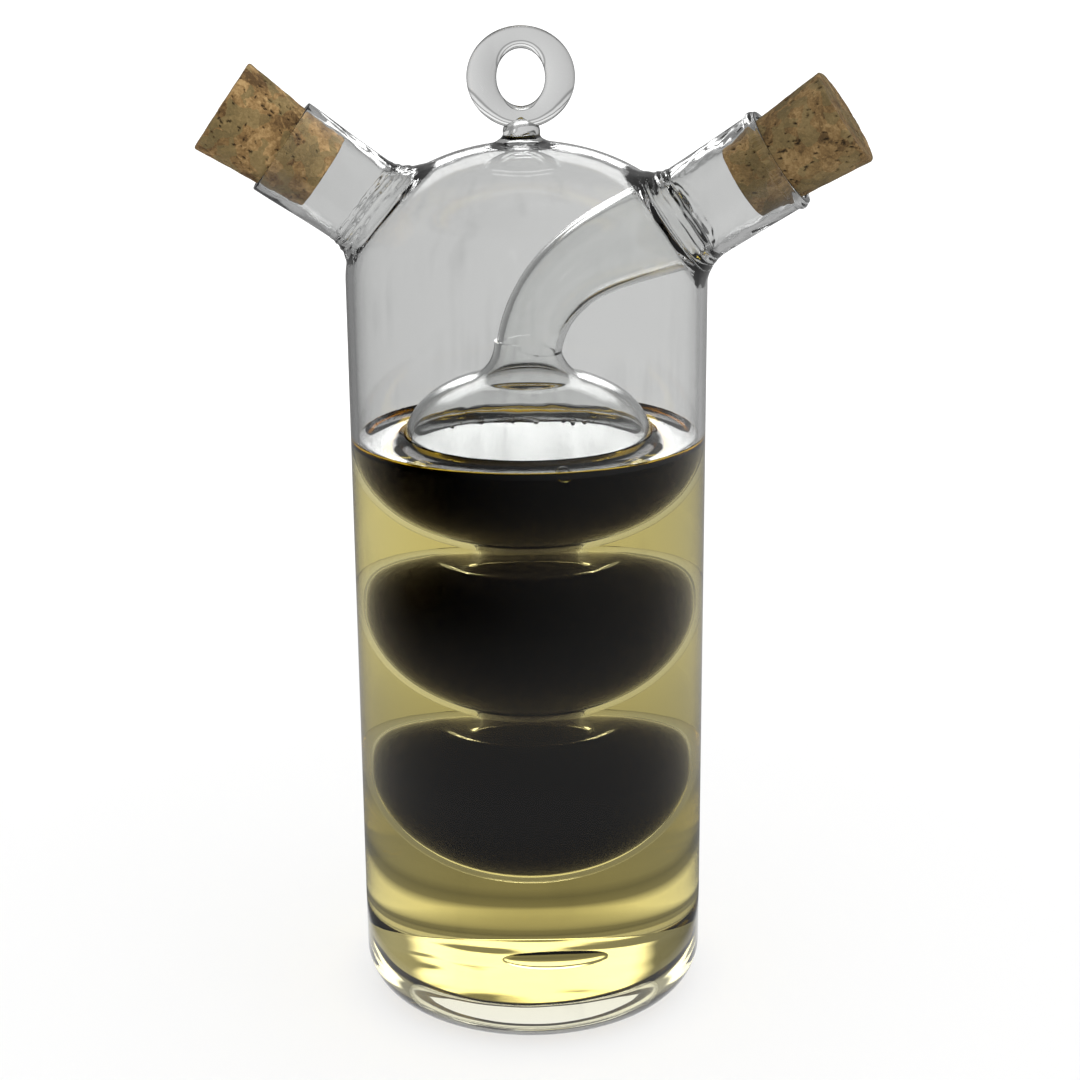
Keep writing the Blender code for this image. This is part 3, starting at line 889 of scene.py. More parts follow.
def make_flask(spouts, materials):
    """Outer flask with both necks and the ring, hollowed out down to its wall.

    The hollow and both bores are one cutter, because a bore cut by itself leaves open edges.
    """
    flask = turned("flask_glass", body_line(0.0))
    ripple_base(flask)
    paint(flask, lambda face: DRY, materials)
    for name, spout in spouts.items():
        tube = neck(spout, name + "_neck")
        paint(tube, lambda face: THICK, materials)
        combine(flask, tube, "UNION")
    ring = hanging_ring()
    paint(ring, lambda face: THICK, materials)
    combine(flask, ring, "UNION")
    combine(flask, pontil_mark(), "UNION")
    hollow = turned("hollow", body_line(BODY_WALL))
    paint(hollow, lambda face: DRY, materials)
    cut_rim(hollow, OIL_LEVEL + MENISCUS_RISE, OILED)
    bores = [bore(spout, name + "_bore") for name, spout in spouts.items()]
    for cutter in bores:
        paint(cutter, lambda face: THICK, materials)
        combine(hollow, cutter, "UNION")
    combine(flask, hollow, "DIFFERENCE")
    tidy(flask, GLASS_CREASE)
    flask.visible_shadow = False
    nodes = ("outer_body", "oil_spout", "vinegar_spout", "hanging_loop")
    finish_piece(flask, "flask", "body_glass", *nodes)


def cut_rim(item, height, wetted):
    """Cut a ring of edges into a turned shape, and give the faces below it the wetted slot."""
    activate(item)
    bpy.ops.object.mode_set(mode="EDIT")
    bpy.ops.mesh.select_all(action="SELECT")
    bpy.ops.mesh.bisect(plane_co=(0.0, 0.0, height), plane_no=(0.0, 0.0, 1.0))
    bpy.ops.object.mode_set(mode="OBJECT")
    for face in item.data.polygons:
        face.material_index = wetted if face.center.z < height else DRY


def riser_tube(name, spout, inset, start_overrun, end_overrun):
    """Round bar along the riser's bend, from the top lobe to the right spout's root."""
    across = Vector((math.cos(spout.turn), math.sin(spout.turn), 0.0))
    start = UP * RISER_START
    arrival = across * math.cos(RISER_ARRIVAL) + UP * math.sin(RISER_ARRIVAL)
    deselect()
    bpy.ops.curve.primitive_bezier_curve_add()
    item = bpy.context.active_object
    item.name = name
    first, last = item.data.splines[0].bezier_points
    first.handle_left_type = first.handle_right_type = "FREE"
    last.handle_left_type = last.handle_right_type = "FREE"
    first.co = start
    first.handle_right = start + UP * RISER_UP_HANDLE
    first.handle_left = start - UP * RISER_UP_HANDLE
    last.co = spout.root
    last.handle_left = spout.root - arrival * RISER_SIDE_HANDLE
    last.handle_right = spout.root + arrival * RISER_SIDE_HANDLE
    bpy.ops.object.mode_set(mode="EDIT")
    bpy.ops.curve.select_all(action="SELECT")
    bpy.ops.curve.subdivide(number_cuts=RISER_CUTS)
    bpy.ops.curve.select_all(action="DESELECT")
    bpy.ops.curve.de_select_last()
    bpy.ops.curve.extrude_move(TRANSFORM_OT_translate={"value": arrival * end_overrun})
    bpy.ops.curve.select_all(action="DESELECT")
    bpy.ops.curve.de_select_first()
    bpy.ops.curve.extrude_move(TRANSFORM_OT_translate={"value": -UP * start_overrun})
    bpy.ops.object.mode_set(mode="OBJECT")
    item.data.bevel_depth = RISER_NECK_RADIUS
    item.data.bevel_resolution = RISER_ROD_STEPS
    item.data.resolution_u = RISER_STEPS
    item.data.use_fill_caps = True
    points = item.data.splines[0].bezier_points
    lengths = [0.0]
    for before, after in zip(points, points[1:]):
        lengths.append(lengths[-1] + (after.co - before.co).length)
    whole = lengths[-1] - start_overrun - end_overrun
    for point, length in zip(points, lengths):
        along = length - start_overrun - RISER_WIDENING_START
        widening = ease(along / (whole - RISER_WIDENING_START))
        radius = RISER_NECK_RADIUS + (RISER_END_RADIUS - RISER_NECK_RADIUS) * widening - inset
        point.radius = radius / RISER_NECK_RADIUS
    return as_mesh(SOFT_CREASE)


def make_vessel(spout, line, materials):
    """Lobed inner flask, open at its top into the riser that leads to the right spout."""
    vessel = turned("vessel_glass", line + [(0.0, line[-1][1])])
    paint(vessel, lambda face: DRY, materials)
    cut_rim(vessel, OIL_LEVEL + MENISCUS_RISE, OILED)
    combine(vessel, riser_tube("riser", spout, 0.0, RISER_LAP, OVERRUN / 2.0), "UNION")
    room = turned("room", body_line(BODY_WALL - RISER_SINK))
    combine(vessel, room, "INTERSECT")
    inner = moved_inward(line, VESSEL_WALL)
    hollow = turned("vessel_hollow", inner + [(0.0, inner[-1][1])])
    paint(hollow, lambda face: DRY, materials)
    cut_rim(hollow, VINEGAR_LEVEL + MENISCUS_RISE, ON_VINEGAR)
    combine(vessel, hollow, "DIFFERENCE")
    bore_tube = riser_tube("riser_bore", spout, RISER_WALL, OVERRUN / 2.0, OVERRUN)
    combine(vessel, bore_tube, "DIFFERENCE")
    tidy(vessel, GLASS_CREASE)
    vessel.visible_shadow = False
    finish_piece(vessel, "flask", "vessel_glass", "inner_vessel", "riser_tube")


# Liquids


def make_liquid(name, line, level, materials, slot, node):
    """Liquid of a turned outline, whose surface has its own material."""
    liquid = turned(name, line)
    paint(liquid, lambda face: SURFACE if face.center.z > level - SURFACE_DEPTH else AT_WALLS, materials)
    tidy(liquid, SOFT_CREASE)
    finish_piece(liquid, "flask", slot, node)


def oil_line(line):
    """Outline of the oil between the two flasks, which climbs a little up both walls."""
    outer = up_to(list(reversed(body_line(BODY_WALL + FILM))), OIL_LEVEL)
    inner = up_to(moved_inward(line, -FILM), OIL_LEVEL)
    inner[0] = (0.0, line[0][1] - FILM)
    top = meniscus(outer[-1][0], -1.0, OIL_LEVEL)
    top += reversed(meniscus(inner[-1][0], 1.0, OIL_LEVEL))
    return outer + top + list(reversed(inner))


def vinegar_line(line):
    """Outline of the vinegar inside the lobes, up to its level."""
    inner = up_to(moved_inward(line, VESSEL_WALL + FILM), VINEGAR_LEVEL)
    return inner + meniscus(inner[-1][0], -1.0, VINEGAR_LEVEL) + [(0.0, VINEGAR_LEVEL)]


def bubbles(name, places, slot):
    """Small round bubbles, (x, y, z, radius) each, joined into one piece."""
    around, high = BUBBLE_STEPS
    pieces = []
    for x, y, z, size in places:
        deselect()
        bpy.ops.mesh.primitive_uv_sphere_add(
            segments=around, ring_count=high, radius=size, location=(x, y, z)
        )
        pieces.append(bpy.context.active_object)
    activate(pieces[0])
    for piece in pieces:
        piece.select_set(True)
    if len(pieces) > 1:
        bpy.ops.object.join()
    item = bpy.context.active_object
    item.name = name
    item.data.name = name
    bpy.ops.object.transform_apply(location=True, rotation=True, scale=True)
    item.data.materials.append(glass_material(name, WHITE, BUBBLE_INDEX))
    bpy.ops.object.shade_smooth()
    finish_piece(item, "flask", slot)


def make_bubbles(line):
    """Small bubbles at the back edge of the vinegar, and one larger bubble on the oil."""
    chance = random.Random(FROTH_SEED)
    wall = up_to(moved_inward(line, VESSEL_WALL + FILM), VINEGAR_LEVEL)[-1][0]
    height = VINEGAR_LEVEL + MENISCUS_RISE * FROTH_LIFT
    places = []
    for _ in range(FROTH_COUNT):
        size = chance.uniform(*FROTH_SIZES) * MM
        turn = math.radians(chance.gauss(*FROTH_HEADING))
        reach = wall - MENISCUS_REACH - size - abs(chance.gauss(0.0, FROTH_SCATTER)) * MM
        places.append((reach * math.cos(turn), reach * math.sin(turn), height, size))
    bubbles("vinegar_froth", places, "dark_vinegar")
    bubbles("oil_bubble", [OIL_BUBBLE_PLACE + (OIL_LEVEL, OIL_BUBBLE_RADIUS)], "olive_oil")


# Corks


def pit_list(seed, count, length, radius):
    """Short slits in the cork, darkened with painted shade, in loose clusters: place, direction, size.
    """
    chance = random.Random(seed)

    def anywhere():
        return (chance.uniform(0.0, FULL_TURN * radius), chance.uniform(0.0, length))

    pits = []
    centres = [anywhere() for _ in range(count // PITS_PER_CLUSTER)]
    for _ in range(count):
        if chance.random() < PIT_CLUSTERED:
            home = chance.choice(centres)
            spot = tuple(value + chance.gauss(0.0, PIT_SCATTER) for value in home)
        else:
            spot = anywhere()
        size = chance.uniform(*PIT_SIZES) * MM
        angle = chance.gauss(QUARTER_TURN, PIT_TURN_SPREAD)
        pits.append((spot, angle, size, size * chance.uniform(*PIT_SLENDERNESS)))
    return pits


def pit_depth(pits, u, v, whole_turn):
    """How deep a place lies in the slits, from 0 to 1."""
    deepest = 0.0
    for (across, along), angle, length, width in pits:
        du = (u - across + whole_turn / 2.0) % whole_turn - whole_turn / 2.0
        dv = v - along
        if abs(du) > PIT_REACH or abs(dv) > PIT_REACH:
            continue
        a = (du * math.cos(angle) + dv * math.sin(angle)) / length
        b = (dv * math.cos(angle) - du * math.sin(angle)) / width
        deepest = max(deepest, 1.0 - a * a - b * b)
    return min(deepest * PIT_STEEPNESS, 1.0)


def cork_line(low, high):
    """Outline of a tapered cork with rounded edges, from the middle of its head to its tip's."""
    head = (CORK_HEAD_RADIUS - CORK_EDGE, high - CORK_EDGE)
    tip = (CORK_TIP_RADIUS - CORK_EDGE, low + CORK_EDGE)
    line = [(0.0, high)]
    line += straight(line[-1], (CORK_HEAD_RADIUS - CORK_EDGE, high), CORK_HEAD_STEPS)
    line += arc(head, CORK_EDGE, CORK_EDGE, QUARTER_TURN, 0.0, CORK_EDGE_STEPS)[1:]
    line += straight(line[-1], (CORK_TIP_RADIUS, low + CORK_EDGE), CORK_SIDE_STEPS)
    line += arc(tip, CORK_EDGE, CORK_EDGE, 0.0, -QUARTER_TURN, CORK_EDGE_STEPS)[1:]
    return line + straight(line[-1], (0.0, low), CORK_TIP_STEPS)


def make_cork(name, spout, body, material, seed):
    """Tapered cork pressed from granules, with open pits."""
    low = -spout.inserted
    cork = turned(name + "_visible", cork_line(low, CORK_LENGTH - spout.inserted), CORK_TURNS)
    side_pits = pit_list(seed, CORK_SIDE_PITS, CORK_LENGTH, CORK_HEAD_RADIUS)
    end_pits = pit_list(seed + 1, CORK_END_PITS, CORK_HEAD_RADIUS * 2.0, CORK_HEAD_RADIUS / math.pi)
    holes = cork.data.attributes.new("pits", "FLOAT", "POINT")
    normals = [vertex.normal.copy() for vertex in cork.data.vertices]
    for index, vertex in enumerate(cork.data.vertices):
        normal = normals[index]
        if abs(normal.z) < CORK_END_FACING:
            u = (math.atan2(vertex.co.y, vertex.co.x) + math.pi) * CORK_HEAD_RADIUS
            depth = pit_depth(side_pits, u, vertex.co.z - low, FULL_TURN * CORK_HEAD_RADIUS)
        else:
            u = vertex.co.x + CORK_HEAD_RADIUS
            depth = pit_depth(end_pits, u, vertex.co.y + CORK_HEAD_RADIUS, CORK_HEAD_RADIUS * 4.0)
        holes.data[index].value = depth
        worn = noise.noise(vertex.co * (1.0 / WEAR_SIZE) + Vector((seed, 0.0, 0.0))) * WEAR_DEPTH
        grain = noise.noise(vertex.co * (1.0 / GRAIN_SIZE)) * GRAIN_DEPTH
        if math.hypot(vertex.co.x, vertex.co.y) > MM:
            inward = PIT_DEPTH * depth + CORK_INSET - min(worn + grain, GROWTH_LIMIT)
            vertex.co -= normal * inward
    place(cork, spout.matrix)
    cork.data.materials.append(material)
    tidy(cork, SOFT_CREASE)
    finish_piece(cork, body, "cork", name)


# Materials


def new_material(name):
    material = bpy.data.materials.new(name)
    material.use_nodes = True
    return material, material.node_tree, material.node_tree.nodes["Principled BSDF"]


def set_inputs(node, settings):
    for name, value in settings.items():
        node.inputs[name].default_value = value


def add_node(tree, kind, settings=None, **properties):
    """Add a node with its own properties and its input settings."""
    node = tree.nodes.new(kind)
    for name, value in properties.items():
        setattr(node, name, value)
    set_inputs(node, settings or {})
    return node


def new_group(name, inputs, outputs):
    """Node group whose sockets are given as (name, kind), with its input and output nodes."""
    group = bpy.data.node_groups.new(name, "ShaderNodeTree")
    for in_out, sockets in (("INPUT", inputs), ("OUTPUT", outputs)):
        for socket, kind in sockets:
            group.interface.new_socket(socket, in_out=in_out, socket_type="NodeSocket" + kind)
    return group, add_node(group, "NodeGroupInput"), add_node(group, "NodeGroupOutput")


def link(tree, *links):
    """Link sockets, each link given as (node, output, node, input)."""
    for source, output, target, entry in links:
        tree.links.new(source.outputs[output], target.inputs[entry])


def set_ramp(ramp, stops):
    """Fill a colour ramp with grey stops of (position, strength)."""
    ramp.elements[0].position = stops[0][0]
    ramp.elements[1].position = stops[-1][0]
    for position, strength in stops[1:-1]:
        ramp.elements.new(position)
    for element, (position, strength) in zip(ramp.elements, stops):
        element.color = (strength, strength, strength, 1.0)


def hand_blown_waves():
    """Node group: slow waves and fine draw lines of hand-blown glass as a height, and patches of the
    draw lines as darker streaks.
    """
    inputs = [("Wave Size", "Float")]
    outputs = [("Height", "Float"), ("Streak Darkness", "Float")]
    group, start, end = new_group("hand_blown_waves", inputs, outputs)
    spot = add_node(group, "ShaderNodeTexCoord")
    stretch = add_node(group, "ShaderNodeMapping", WAVE_STRETCH)
    waves = add_node(group, "ShaderNodeTexNoise", WAVES)
    draw = add_node(group, "ShaderNodeMapping", DRAW_STRETCH)
    lines = add_node(group, "ShaderNodeTexNoise", DRAW_LINES)
    height = add_node(group, "ShaderNodeMath", DRAW_LINES_SHARE, operation="MULTIPLY_ADD")
    streak_patches = add_node(group, "ShaderNodeTexNoise", STREAK_PATCHES)
    streaks = add_node(group, "ShaderNodeMath", operation="MULTIPLY")
    streak_darkness = add_node(group, "ShaderNodeMapRange", STREAK_DARKNESS, interpolation_type="SMOOTHSTEP")
    link(
        group,
        (spot, "Object", stretch, "Vector"),
        (stretch, "Vector", waves, "Vector"),
        (start, "Wave Size", waves, "Scale"),
        (spot, "Object", streak_patches, "Vector"),
        (streak_patches, "Fac", streaks, 0),
        (lines, "Fac", streaks, 1),
        (streaks, "Value", streak_darkness, "Value"),
        (spot, "Object", draw, "Vector"),
        (draw, "Vector", lines, "Vector"),
        (lines, "Fac", height, 0),
        (waves, "Fac", height, 2),
        (height, "Value", end, "Height"),
        (streak_darkness, "Result", end, "Streak Darkness"),
    )
    return group


def glass_material(name, color, index, waves=None, waves_and_shade=None):
    """Clear glass or liquid. Glass with waves and shade settings has waves, darker streaks, and painted
    shade that darkens it where it is seen at a slant.

    Light that has left a cork or the floor sees neither the painted edge shade nor the streaks, so the
    corks stay bright in their necks.
    """
    material, tree, shader = new_material(name)
    set_inputs(shader, {"Base Color": color, "Roughness": 0.0, "IOR": index, "Transmission Weight": 1.0})
    if waves_and_shade:
        # Painted shade: the glass darkens toward its edges, where it is seen at a slant
        edge = add_node(tree, "ShaderNodeLayerWeight", EVEN_EDGE)
        start = {"From Min": waves_and_shade["painted_shade_start"]}
        rim = add_node(tree, "ShaderNodeMapRange", start, interpolation_type="SMOOTHSTEP")
        size = {"Wave Size": waves_and_shade["size"]}
        ripples = add_node(tree, "ShaderNodeGroup", size, node_tree=waves)
        darker = add_node(tree, "ShaderNodeMath", operation="MAXIMUM")
        path = add_node(tree, "ShaderNodeLightPath")
        lit = add_node(tree, "ShaderNodeMapRange", REVERSED)
        unlit = add_node(tree, "ShaderNodeMath", operation="MULTIPLY")
        shade_and_streak_mix = add_node(tree, "ShaderNodeMix", data_type="RGBA")
        shade_and_streak_mix.inputs[MIX_A].default_value = color
        shade_and_streak_mix.inputs[MIX_B].default_value = PAINTED_SHADE_AND_STREAK_COLOR
        relief = {"Strength": 1.0, "Distance": waves_and_shade["depth"]}
        bump = add_node(tree, "ShaderNodeBump", relief)
        link(
            tree,
            (edge, "Facing", rim, "Value"),
            (rim, "Result", darker, 0),
            (ripples, "Streak Darkness", darker, 1),
            (darker, "Value", unlit, 0),
            (path, "Diffuse Depth", lit, "Value"),
            (lit, "Result", unlit, 1),
            (unlit, "Value", shade_and_streak_mix, "Factor"),
            (shade_and_streak_mix, MIX_RESULT, shader, "Base Color"),
            (ripples, "Height", bump, "Height"),
            (bump, "Normal", shader, "Normal"),
        )
    return material


def liquid_material(name, index, depths):
    """Liquid whose colour is all in its volume, so that thin places stay pale."""
    material = glass_material(name, WHITE, index)
    tree = material.node_tree
    volume = add_node(tree, "ShaderNodeVolumeAbsorption", depths)
    link(tree, (volume, "Volume", tree.nodes["Material Output"], "Volume"))
    return material


def cork_material(name, painted_shade):
    """Pressed cork: soft-edged granules, fine grain, olive blotches, open pits darkened with painted
    shade, and painted shade that may darken the whole cork.
    """
    material, tree, shader = new_material(name)
    set_inputs(shader, CORK_FINISH)
    spot = add_node(tree, "ShaderNodeTexCoord")
    warp = add_node(tree, "ShaderNodeTexNoise", CORK_WARP)
    shift = add_node(tree, "ShaderNodeVectorMath", CORK_WARP_REACH, operation="MULTIPLY_ADD")
    granules = add_node(tree, "ShaderNodeTexVoronoi", CORK_GRANULES)
    crumbs = add_node(tree, "ShaderNodeTexVoronoi", CORK_CRUMBS)
    grain = add_node(tree, "ShaderNodeTexNoise", CORK_GRAIN)
    blotch = add_node(tree, "ShaderNodeTexNoise", CORK_BLOTCHES)
    large = add_node(tree, "ShaderNodeSeparateColor")
    small = add_node(tree, "ShaderNodeSeparateColor")
    weights = []
    for weight in CORK_WEIGHTS:
        weights.append(add_node(tree, "ShaderNodeMath", {1: weight, 2: 0.0}, operation="MULTIPLY_ADD"))
    shade = add_node(tree, "ShaderNodeMapRange", CORK_SHADE)
    tones = add_node(tree, "ShaderNodeValToRGB")
    tones.color_ramp.elements[0].color = CORK_TONES[0]
    tones.color_ramp.elements[1].color = CORK_TONES[2]
    tones.color_ramp.elements.new(0.5).color = CORK_TONES[1]
    olive_mask = add_node(tree, "ShaderNodeMapRange", CORK_OLIVE_SHARE)
    olive = add_node(tree, "ShaderNodeMix", data_type="RGBA")
    olive.inputs[MIX_B].default_value = CORK_OLIVE
    pits = add_node(tree, "ShaderNodeAttribute", attribute_name="pits")
    # Painted shade in the pits
    pitted = add_node(tree, "ShaderNodeMix", data_type="RGBA")
    pitted.inputs[MIX_B].default_value = CORK_PIT_SHADE
    # Painted shade over the whole cork, as much as it is given
    shaded = add_node(tree, "ShaderNodeMix", data_type="RGBA")
    shaded.inputs["Factor"].default_value = painted_shade
    shaded.inputs[MIX_B].default_value = CORK_PAINTED_SHADE
    bump = add_node(tree, "ShaderNodeBump", CORK_RELIEF)
    link(
        tree,
        (spot, "Object", warp, "Vector"),
        (warp, "Color", shift, 0),
        (spot, "Object", shift, 2),
        (shift, "Vector", granules, "Vector"),
        (shift, "Vector", crumbs, "Vector"),
        (spot, "Object", grain, "Vector"),
        (spot, "Object", blotch, "Vector"),
        (granules, "Color", large, "Color"),
        (crumbs, "Color", small, "Color"),
        (large, "Red", weights[0], 0),
        (small, "Red", weights[1], 0),
        (weights[0], "Value", weights[1], 2),
        (blotch, "Fac", weights[2], 0),
        (weights[1], "Value", weights[2], 2),
        (grain, "Fac", weights[3], 0),
        (weights[2], "Value", weights[3], 2),
        (weights[3], "Value", shade, "Value"),
        (shade, "Result", tones, "Fac"),
        (large, "Green", olive_mask, "Value"),
        (olive_mask, "Result", olive, "Factor"),
        (tones, "Color", olive, MIX_A),
        (olive, MIX_RESULT, pitted, MIX_A),
        (pits, "Fac", pitted, "Factor"),
        (pitted, MIX_RESULT, shaded, MIX_A),
        (shaded, MIX_RESULT, shader, "Base Color"),
        (grain, "Fac", bump, "Height"),
        (bump, "Normal", shader, "Normal"),
    )
    return material


# Stage


def add_camera():
    data = bpy.data.cameras.new("camera")
    data.lens = CAMERA_LENS
    data.sensor_width = CAMERA_SENSOR
    camera = bpy.data.objects.new("camera", data)
    bpy.context.scene.collection.objects.link(camera)
    turn = Matrix.Rotation(CAMERA_TILT, 4, "X") @ Matrix.Rotation(CAMERA_ROLL, 4, "Z")
    camera.matrix_world = Matrix.Translation(CAMERA_PLACE) @ turn
    bpy.context.scene.camera = camera


def add_lamp(name, spot, size, power):
    """Softbox that lights the corks and the floor, and that the glass doesn't show."""
    data = bpy.data.lights.new(name, "AREA")
    data.shape = "RECTANGLE"
    data.size, data.size_y = size
    data.energy = power
    lamp = bpy.data.objects.new(name, data)
    bpy.context.scene.collection.objects.link(lamp)
    lamp.location = spot
    lamp.rotation_euler = (Vector(LAMP_TARGET) - Vector(spot)).to_track_quat("-Z", "Y").to_euler()
    lamp.visible_glossy = False
    lamp.visible_transmission = False


def room_light():
    """Node group: how bright the studio is in a direction, as the glass and the oil see it.

    The panel at the back shows only in light that was mirrored inside glass or liquid. Light
    that comes straight through sees the bands of the room.
    """
    inputs = [("Direction", "Vector"), ("Mirrorings", "Float"), ("Crossings", "Float")]
    group, start, end = new_group("room_light", inputs, [("Strength", "Float")])
    mirrored = add_node(group, "ShaderNodeMapRange")
    inside = add_node(group, "ShaderNodeMath", operation="MINIMUM")
    mirrored_inside = add_node(group, "ShaderNodeMapRange")
    front = add_node(group, "ShaderNodeMapRange", FRONT_LIGHT)
    shown = add_node(group, "ShaderNodeMath", operation="MULTIPLY")
    bands = add_node(group, "ShaderNodeValToRGB")
    bands.color_ramp.interpolation = "EASE"
    set_ramp(bands.color_ramp, ROOM_BANDS)
    banded = add_node(group, "ShaderNodeMath", operation="MULTIPLY")
    plain = add_node(group, "ShaderNodeMix", data_type="FLOAT")
    split = add_node(group, "ShaderNodeSeparateXYZ")
    flat = add_node(group, "ShaderNodeVectorMath", LEVEL_PART, operation="MULTIPLY")
    compass = add_node(group, "ShaderNodeVectorMath", operation="NORMALIZE")
    heading = add_node(group, "ShaderNodeSeparateXYZ")
    panel = add_node(group, "ShaderNodeValToRGB")
    panel.color_ramp.interpolation = "EASE"
    set_ramp(panel.color_ramp, PANEL)
    panel_width = add_node(group, "ShaderNodeMapRange", interpolation_type="SMOOTHSTEP")
    widths = []
    for low, high in PANEL_WIDTHS:
        width = add_node(group, "ShaderNodeMapRange", {"To Min": low, "To Max": high})
        set_inputs(width, PANEL_STEP)
        link(group, (split, "Z", width, "Value"))
        widths.append(width)
    link(
        group,
        (widths[0], "Result", panel_width, "From Min"),
        (widths[1], "Result", panel_width, "From Max"),
    )
    around = add_node(group, "ShaderNodeMapRange", SIDE_TURN, interpolation_type="SMOOTHSTEP")
    side = add_node(group, "ShaderNodeMapRange", SIDE_LIGHT)
    lean = add_node(group, "ShaderNodeMath", SIDE_LEAN, operation="MULTIPLY_ADD")
    result = add_node(group, "ShaderNodeMix", data_type="FLOAT")
    link(
        group,
        (start, "Direction", split, "Vector"),
        (start, "Direction", flat, 0),
        (flat, "Vector", compass, 0),
        (compass, "Vector", heading, "Vector"),
        (split, "Z", panel, "Fac"),
        (heading, "Y", panel_width, "Value"),
        (heading, "Y", around, "Value"),
        (heading, "X", lean, 0),
        (around, "Result", lean, 2),
        (start, "Mirrorings", mirrored, "Value"),
        (start, "Mirrorings", front, "Value"),
        (start, "Mirrorings", side, "Value"),
        (front, "Result", around, "To Min"),
        (side, "Result", around, "To Max"),
        (panel_width, "Result", shown, 0),
        (start, "Mirrorings", inside, 0),
        (start, "Crossings", inside, 1),
        (inside, "Value", mirrored_inside, "Value"),
        (mirrored_inside, "Result", shown, 1),
        (shown, "Value", result, 0),
        (split, "Z", bands, "Fac"),
        (bands, "Color", banded, 0),
        (lean, "Value", banded, 1),
        (mirrored, "Result", plain, 0),
        (banded, "Value", plain, FLOAT_A),
        (lean, "Value", plain, FLOAT_B),
        (plain, 0, result, FLOAT_A),
        (panel, "Color", result, FLOAT_B),
        (result, 0, end, "Strength"),
    )
    return group


def floor_material(room):
    """Pale floor that stays white to the eye and keeps a soft shadow. Glass and mirrored light see
    painted light and shadow on it instead, which gives way to the room's light farther out.
    """
    material, tree, shader = new_material("pale_floor")
    set_inputs(shader, FLOOR_FINISH)
    path = add_node(tree, "ShaderNodeLightPath")
    spot = add_node(tree, "ShaderNodeTexCoord")
    reach = add_node(tree, "ShaderNodeVectorMath", operation="LENGTH")
    # Painted light and shadow on the floor, for glass and mirrored light
    tones = add_node(tree, "ShaderNodeValToRGB")
    tones.color_ramp.interpolation = "EASE"
    set_ramp(tones.color_ramp, FLOOR_PAINTED_LIGHT_AND_SHADOW)
    around = add_node(tree, "ShaderNodeGroup", node_tree=room)
    distance = add_node(tree, "ShaderNodeMapRange", FLOOR_INTO_ROOM, interpolation_type="SMOOTHSTEP")
    toned = add_node(tree, "ShaderNodeMix", data_type="FLOAT")
    blend = add_node(tree, "ShaderNodeMix", FILL_FROM_FLOOR, data_type="FLOAT")
    scattered = add_node(tree, "ShaderNodeMath", ANY_BOUNCE, operation="GREATER_THAN")
    far = add_node(tree, "ShaderNodeMapRange", FLOOR_TO_THE_EYE, interpolation_type="SMOOTHSTEP")
    seen = add_node(tree, "ShaderNodeEmission")
    through = add_node(tree, "ShaderNodeEmission")
    lit = add_node(tree, "ShaderNodeBsdfDiffuse", FLOOR_LIT)
    direct = add_node(tree, "ShaderNodeAddShader")
    first = add_node(tree, "ShaderNodeMixShader")
    second = add_node(tree, "ShaderNodeMixShader")
    other = add_node(tree, "ShaderNodeMath", operation="MAXIMUM")
    link(
        tree,
        (spot, "Object", reach, 0),
        (spot, "Object", around, "Direction"),
        (path, "Glossy Depth", around, "Mirrorings"),
        (path, "Transmission Depth", around, "Crossings"),
        (reach, "Value", tones, "Fac"),
        (reach, "Value", far, "Value"),
        (reach, "Value", distance, "Value"),
        (distance, "Result", toned, 0),
        (tones, "Color", toned, FLOAT_A),
        (around, "Strength", toned, FLOAT_B),
        (path, "Diffuse Depth", scattered, 0),
        (scattered, "Value", blend, 0),
        (toned, 0, blend, FLOAT_A),
        (blend, 0, through, "Strength"),
        (far, "Result", seen, "Strength"),
        (seen, "Emission", direct, 0),
        (lit, "BSDF", direct, 1),
        (path, "Is Camera Ray", first, "Fac"),
        (shader, "BSDF", first, 1),
        (direct, "Shader", first, 2),
        (path, "Is Transmission Ray", other, 0),
        (path, "Is Glossy Ray", other, 1),
        (other, "Value", second, "Fac"),
        (first, "Shader", second, 1),
        (through, "Emission", second, 2),
        (second, "Shader", tree.nodes["Material Output"], "Surface"),
    )
    return material


def build_world(room):
    """White to the eye, and a studio with one pale panel at the back for the glass."""
    world = bpy.data.worlds.new("studio")
    bpy.context.scene.world = world
    world.use_nodes = True
    world.cycles.sampling_method = "NONE"
    tree = world.node_tree
    path = add_node(tree, "ShaderNodeLightPath")
    spot = add_node(tree, "ShaderNodeTexCoord")
    around = add_node(tree, "ShaderNodeGroup", node_tree=room)
    scattered = add_node(tree, "ShaderNodeMath", ANY_BOUNCE, operation="GREATER_THAN")
    filled = add_node(tree, "ShaderNodeMix", data_type="FLOAT")
    regained = add_node(tree, "ShaderNodeMapRange", FILL_REGAINED)
    raised = add_node(tree, "ShaderNodeMath", operation="MULTIPLY")
    heading = add_node(tree, "ShaderNodeVectorMath", FILL_HEADING, operation="DOT_PRODUCT")
    fill = add_node(tree, "ShaderNodeMapRange", FILL)
    light = add_node(tree, "ShaderNodeMix", WHITE_TO_THE_EYE, data_type="FLOAT")
    background = tree.nodes["Background"]
    link(
        tree,
        (path, "Diffuse Depth", scattered, 0),
        (scattered, "Value", filled, 0),
        (spot, "Generated", around, "Direction"),
        (path, "Glossy Depth", around, "Mirrorings"),
        (path, "Transmission Depth", around, "Crossings"),
        (around, "Strength", filled, FLOAT_A),
        (spot, "Generated", heading, 0),
        (heading, "Value", fill, "Value"),
        (path, "Transmission Depth", regained, "Value"),
        (fill, "Result", raised, 0),
        (regained, "Result", raised, 1),
        (raised, "Value", filled, FLOAT_B),
        (filled, 0, light, FLOAT_A),
        (path, "Is Camera Ray", light, 0),
        (light, 0, background, "Strength"),
    )
    background.inputs["Color"].default_value = WHITE


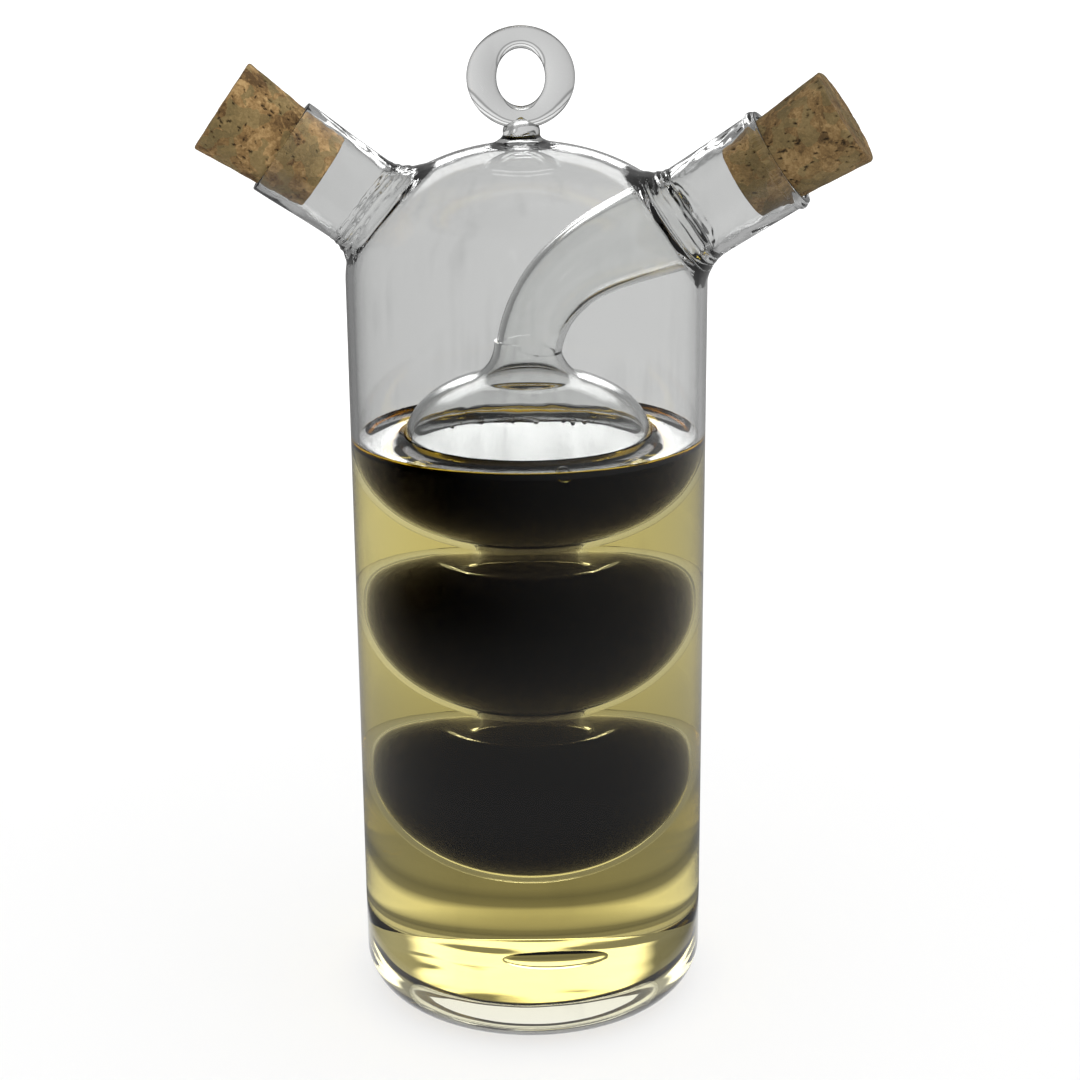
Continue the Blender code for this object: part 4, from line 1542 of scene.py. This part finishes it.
def build_stage():
    room = room_light()
    deselect()
    bpy.ops.mesh.primitive_circle_add(vertices=FLOOR_SIDES, radius=FLOOR_RADIUS, fill_type="NGON")
    floor = bpy.context.active_object
    floor.name = "floor"
    floor.data.materials.append(floor_material(room))
    build_world(room)
    for lamp in LAMPS:
        add_lamp(*lamp)


def build_glass(spouts, line):
    """Both glass skins, dry or wetted wall by wall."""
    waves = hand_blown_waves()
    body = [
        glass_material("clear_body_glass", CLEAR_GLASS, GLASS_INDEX, waves, BODY_WAVES_AND_SHADE),
        glass_material("body_glass_in_oil", WHITE, UNBENT),
        glass_material("thick_body_glass", THICK_GLASS, GLASS_INDEX, waves, THICK_WAVES_AND_SHADE),
    ]
    vessel = [
        glass_material("clear_vessel_glass", CLEAR_GLASS, GLASS_INDEX, waves, VESSEL_WAVES_AND_SHADE),
        glass_material("vessel_glass_in_oil", WHITE, VESSEL_INDEX / OIL_INDEX),
        glass_material("vessel_glass_on_vinegar", WHITE, VESSEL_INDEX / VINEGAR_INDEX),
    ]
    make_flask(spouts, body)
    make_vessel(spouts["vinegar"], line, vessel)


def build_liquids(line):
    """Both liquids with their menisci, and the bubbles on them."""
    oil = [
        liquid_material("oil_at_the_walls", UNBENT, OIL_DEPTHS),
        liquid_material("oil_surface", OIL_INDEX, OIL_DEPTHS),
    ]
    make_liquid("oil_fill_visible", oil_line(line), OIL_LEVEL, oil, "olive_oil", "oil_fill")
    vinegar = [
        liquid_material("vinegar_at_the_walls", UNBENT, VINEGAR_DEPTHS),
        liquid_material("vinegar_surface", VINEGAR_INDEX, VINEGAR_DEPTHS),
    ]
    outline = vinegar_line(line)
    make_liquid("vinegar_fill_visible", outline, VINEGAR_LEVEL, vinegar, "dark_vinegar", "vinegar_fill")
    make_bubbles(line)


def set_render():
    """Enough bounces for light that crosses both flasks, and the plain view."""
    scene = bpy.context.scene
    scene.view_settings.view_transform = "Standard"
    scene.cycles.max_bounces = LIGHT_BOUNCES
    scene.cycles.transmission_bounces = LIGHT_BOUNCES
    scene.cycles.blur_glossy = 0.0


def main():
    spouts = {name: Spout(sizes) for name, sizes in SPOUTS.items()}
    line = vessel_line()
    build_glass(spouts, line)
    build_liquids(line)
    for name, cork in CORKS.items():
        look = cork_material(cork["look"], cork["painted_shade"])
        make_cork(name, spouts[cork["spout"]], cork["body"], look, cork["seed"])
    build_stage()
    add_camera()
    set_render()


main()
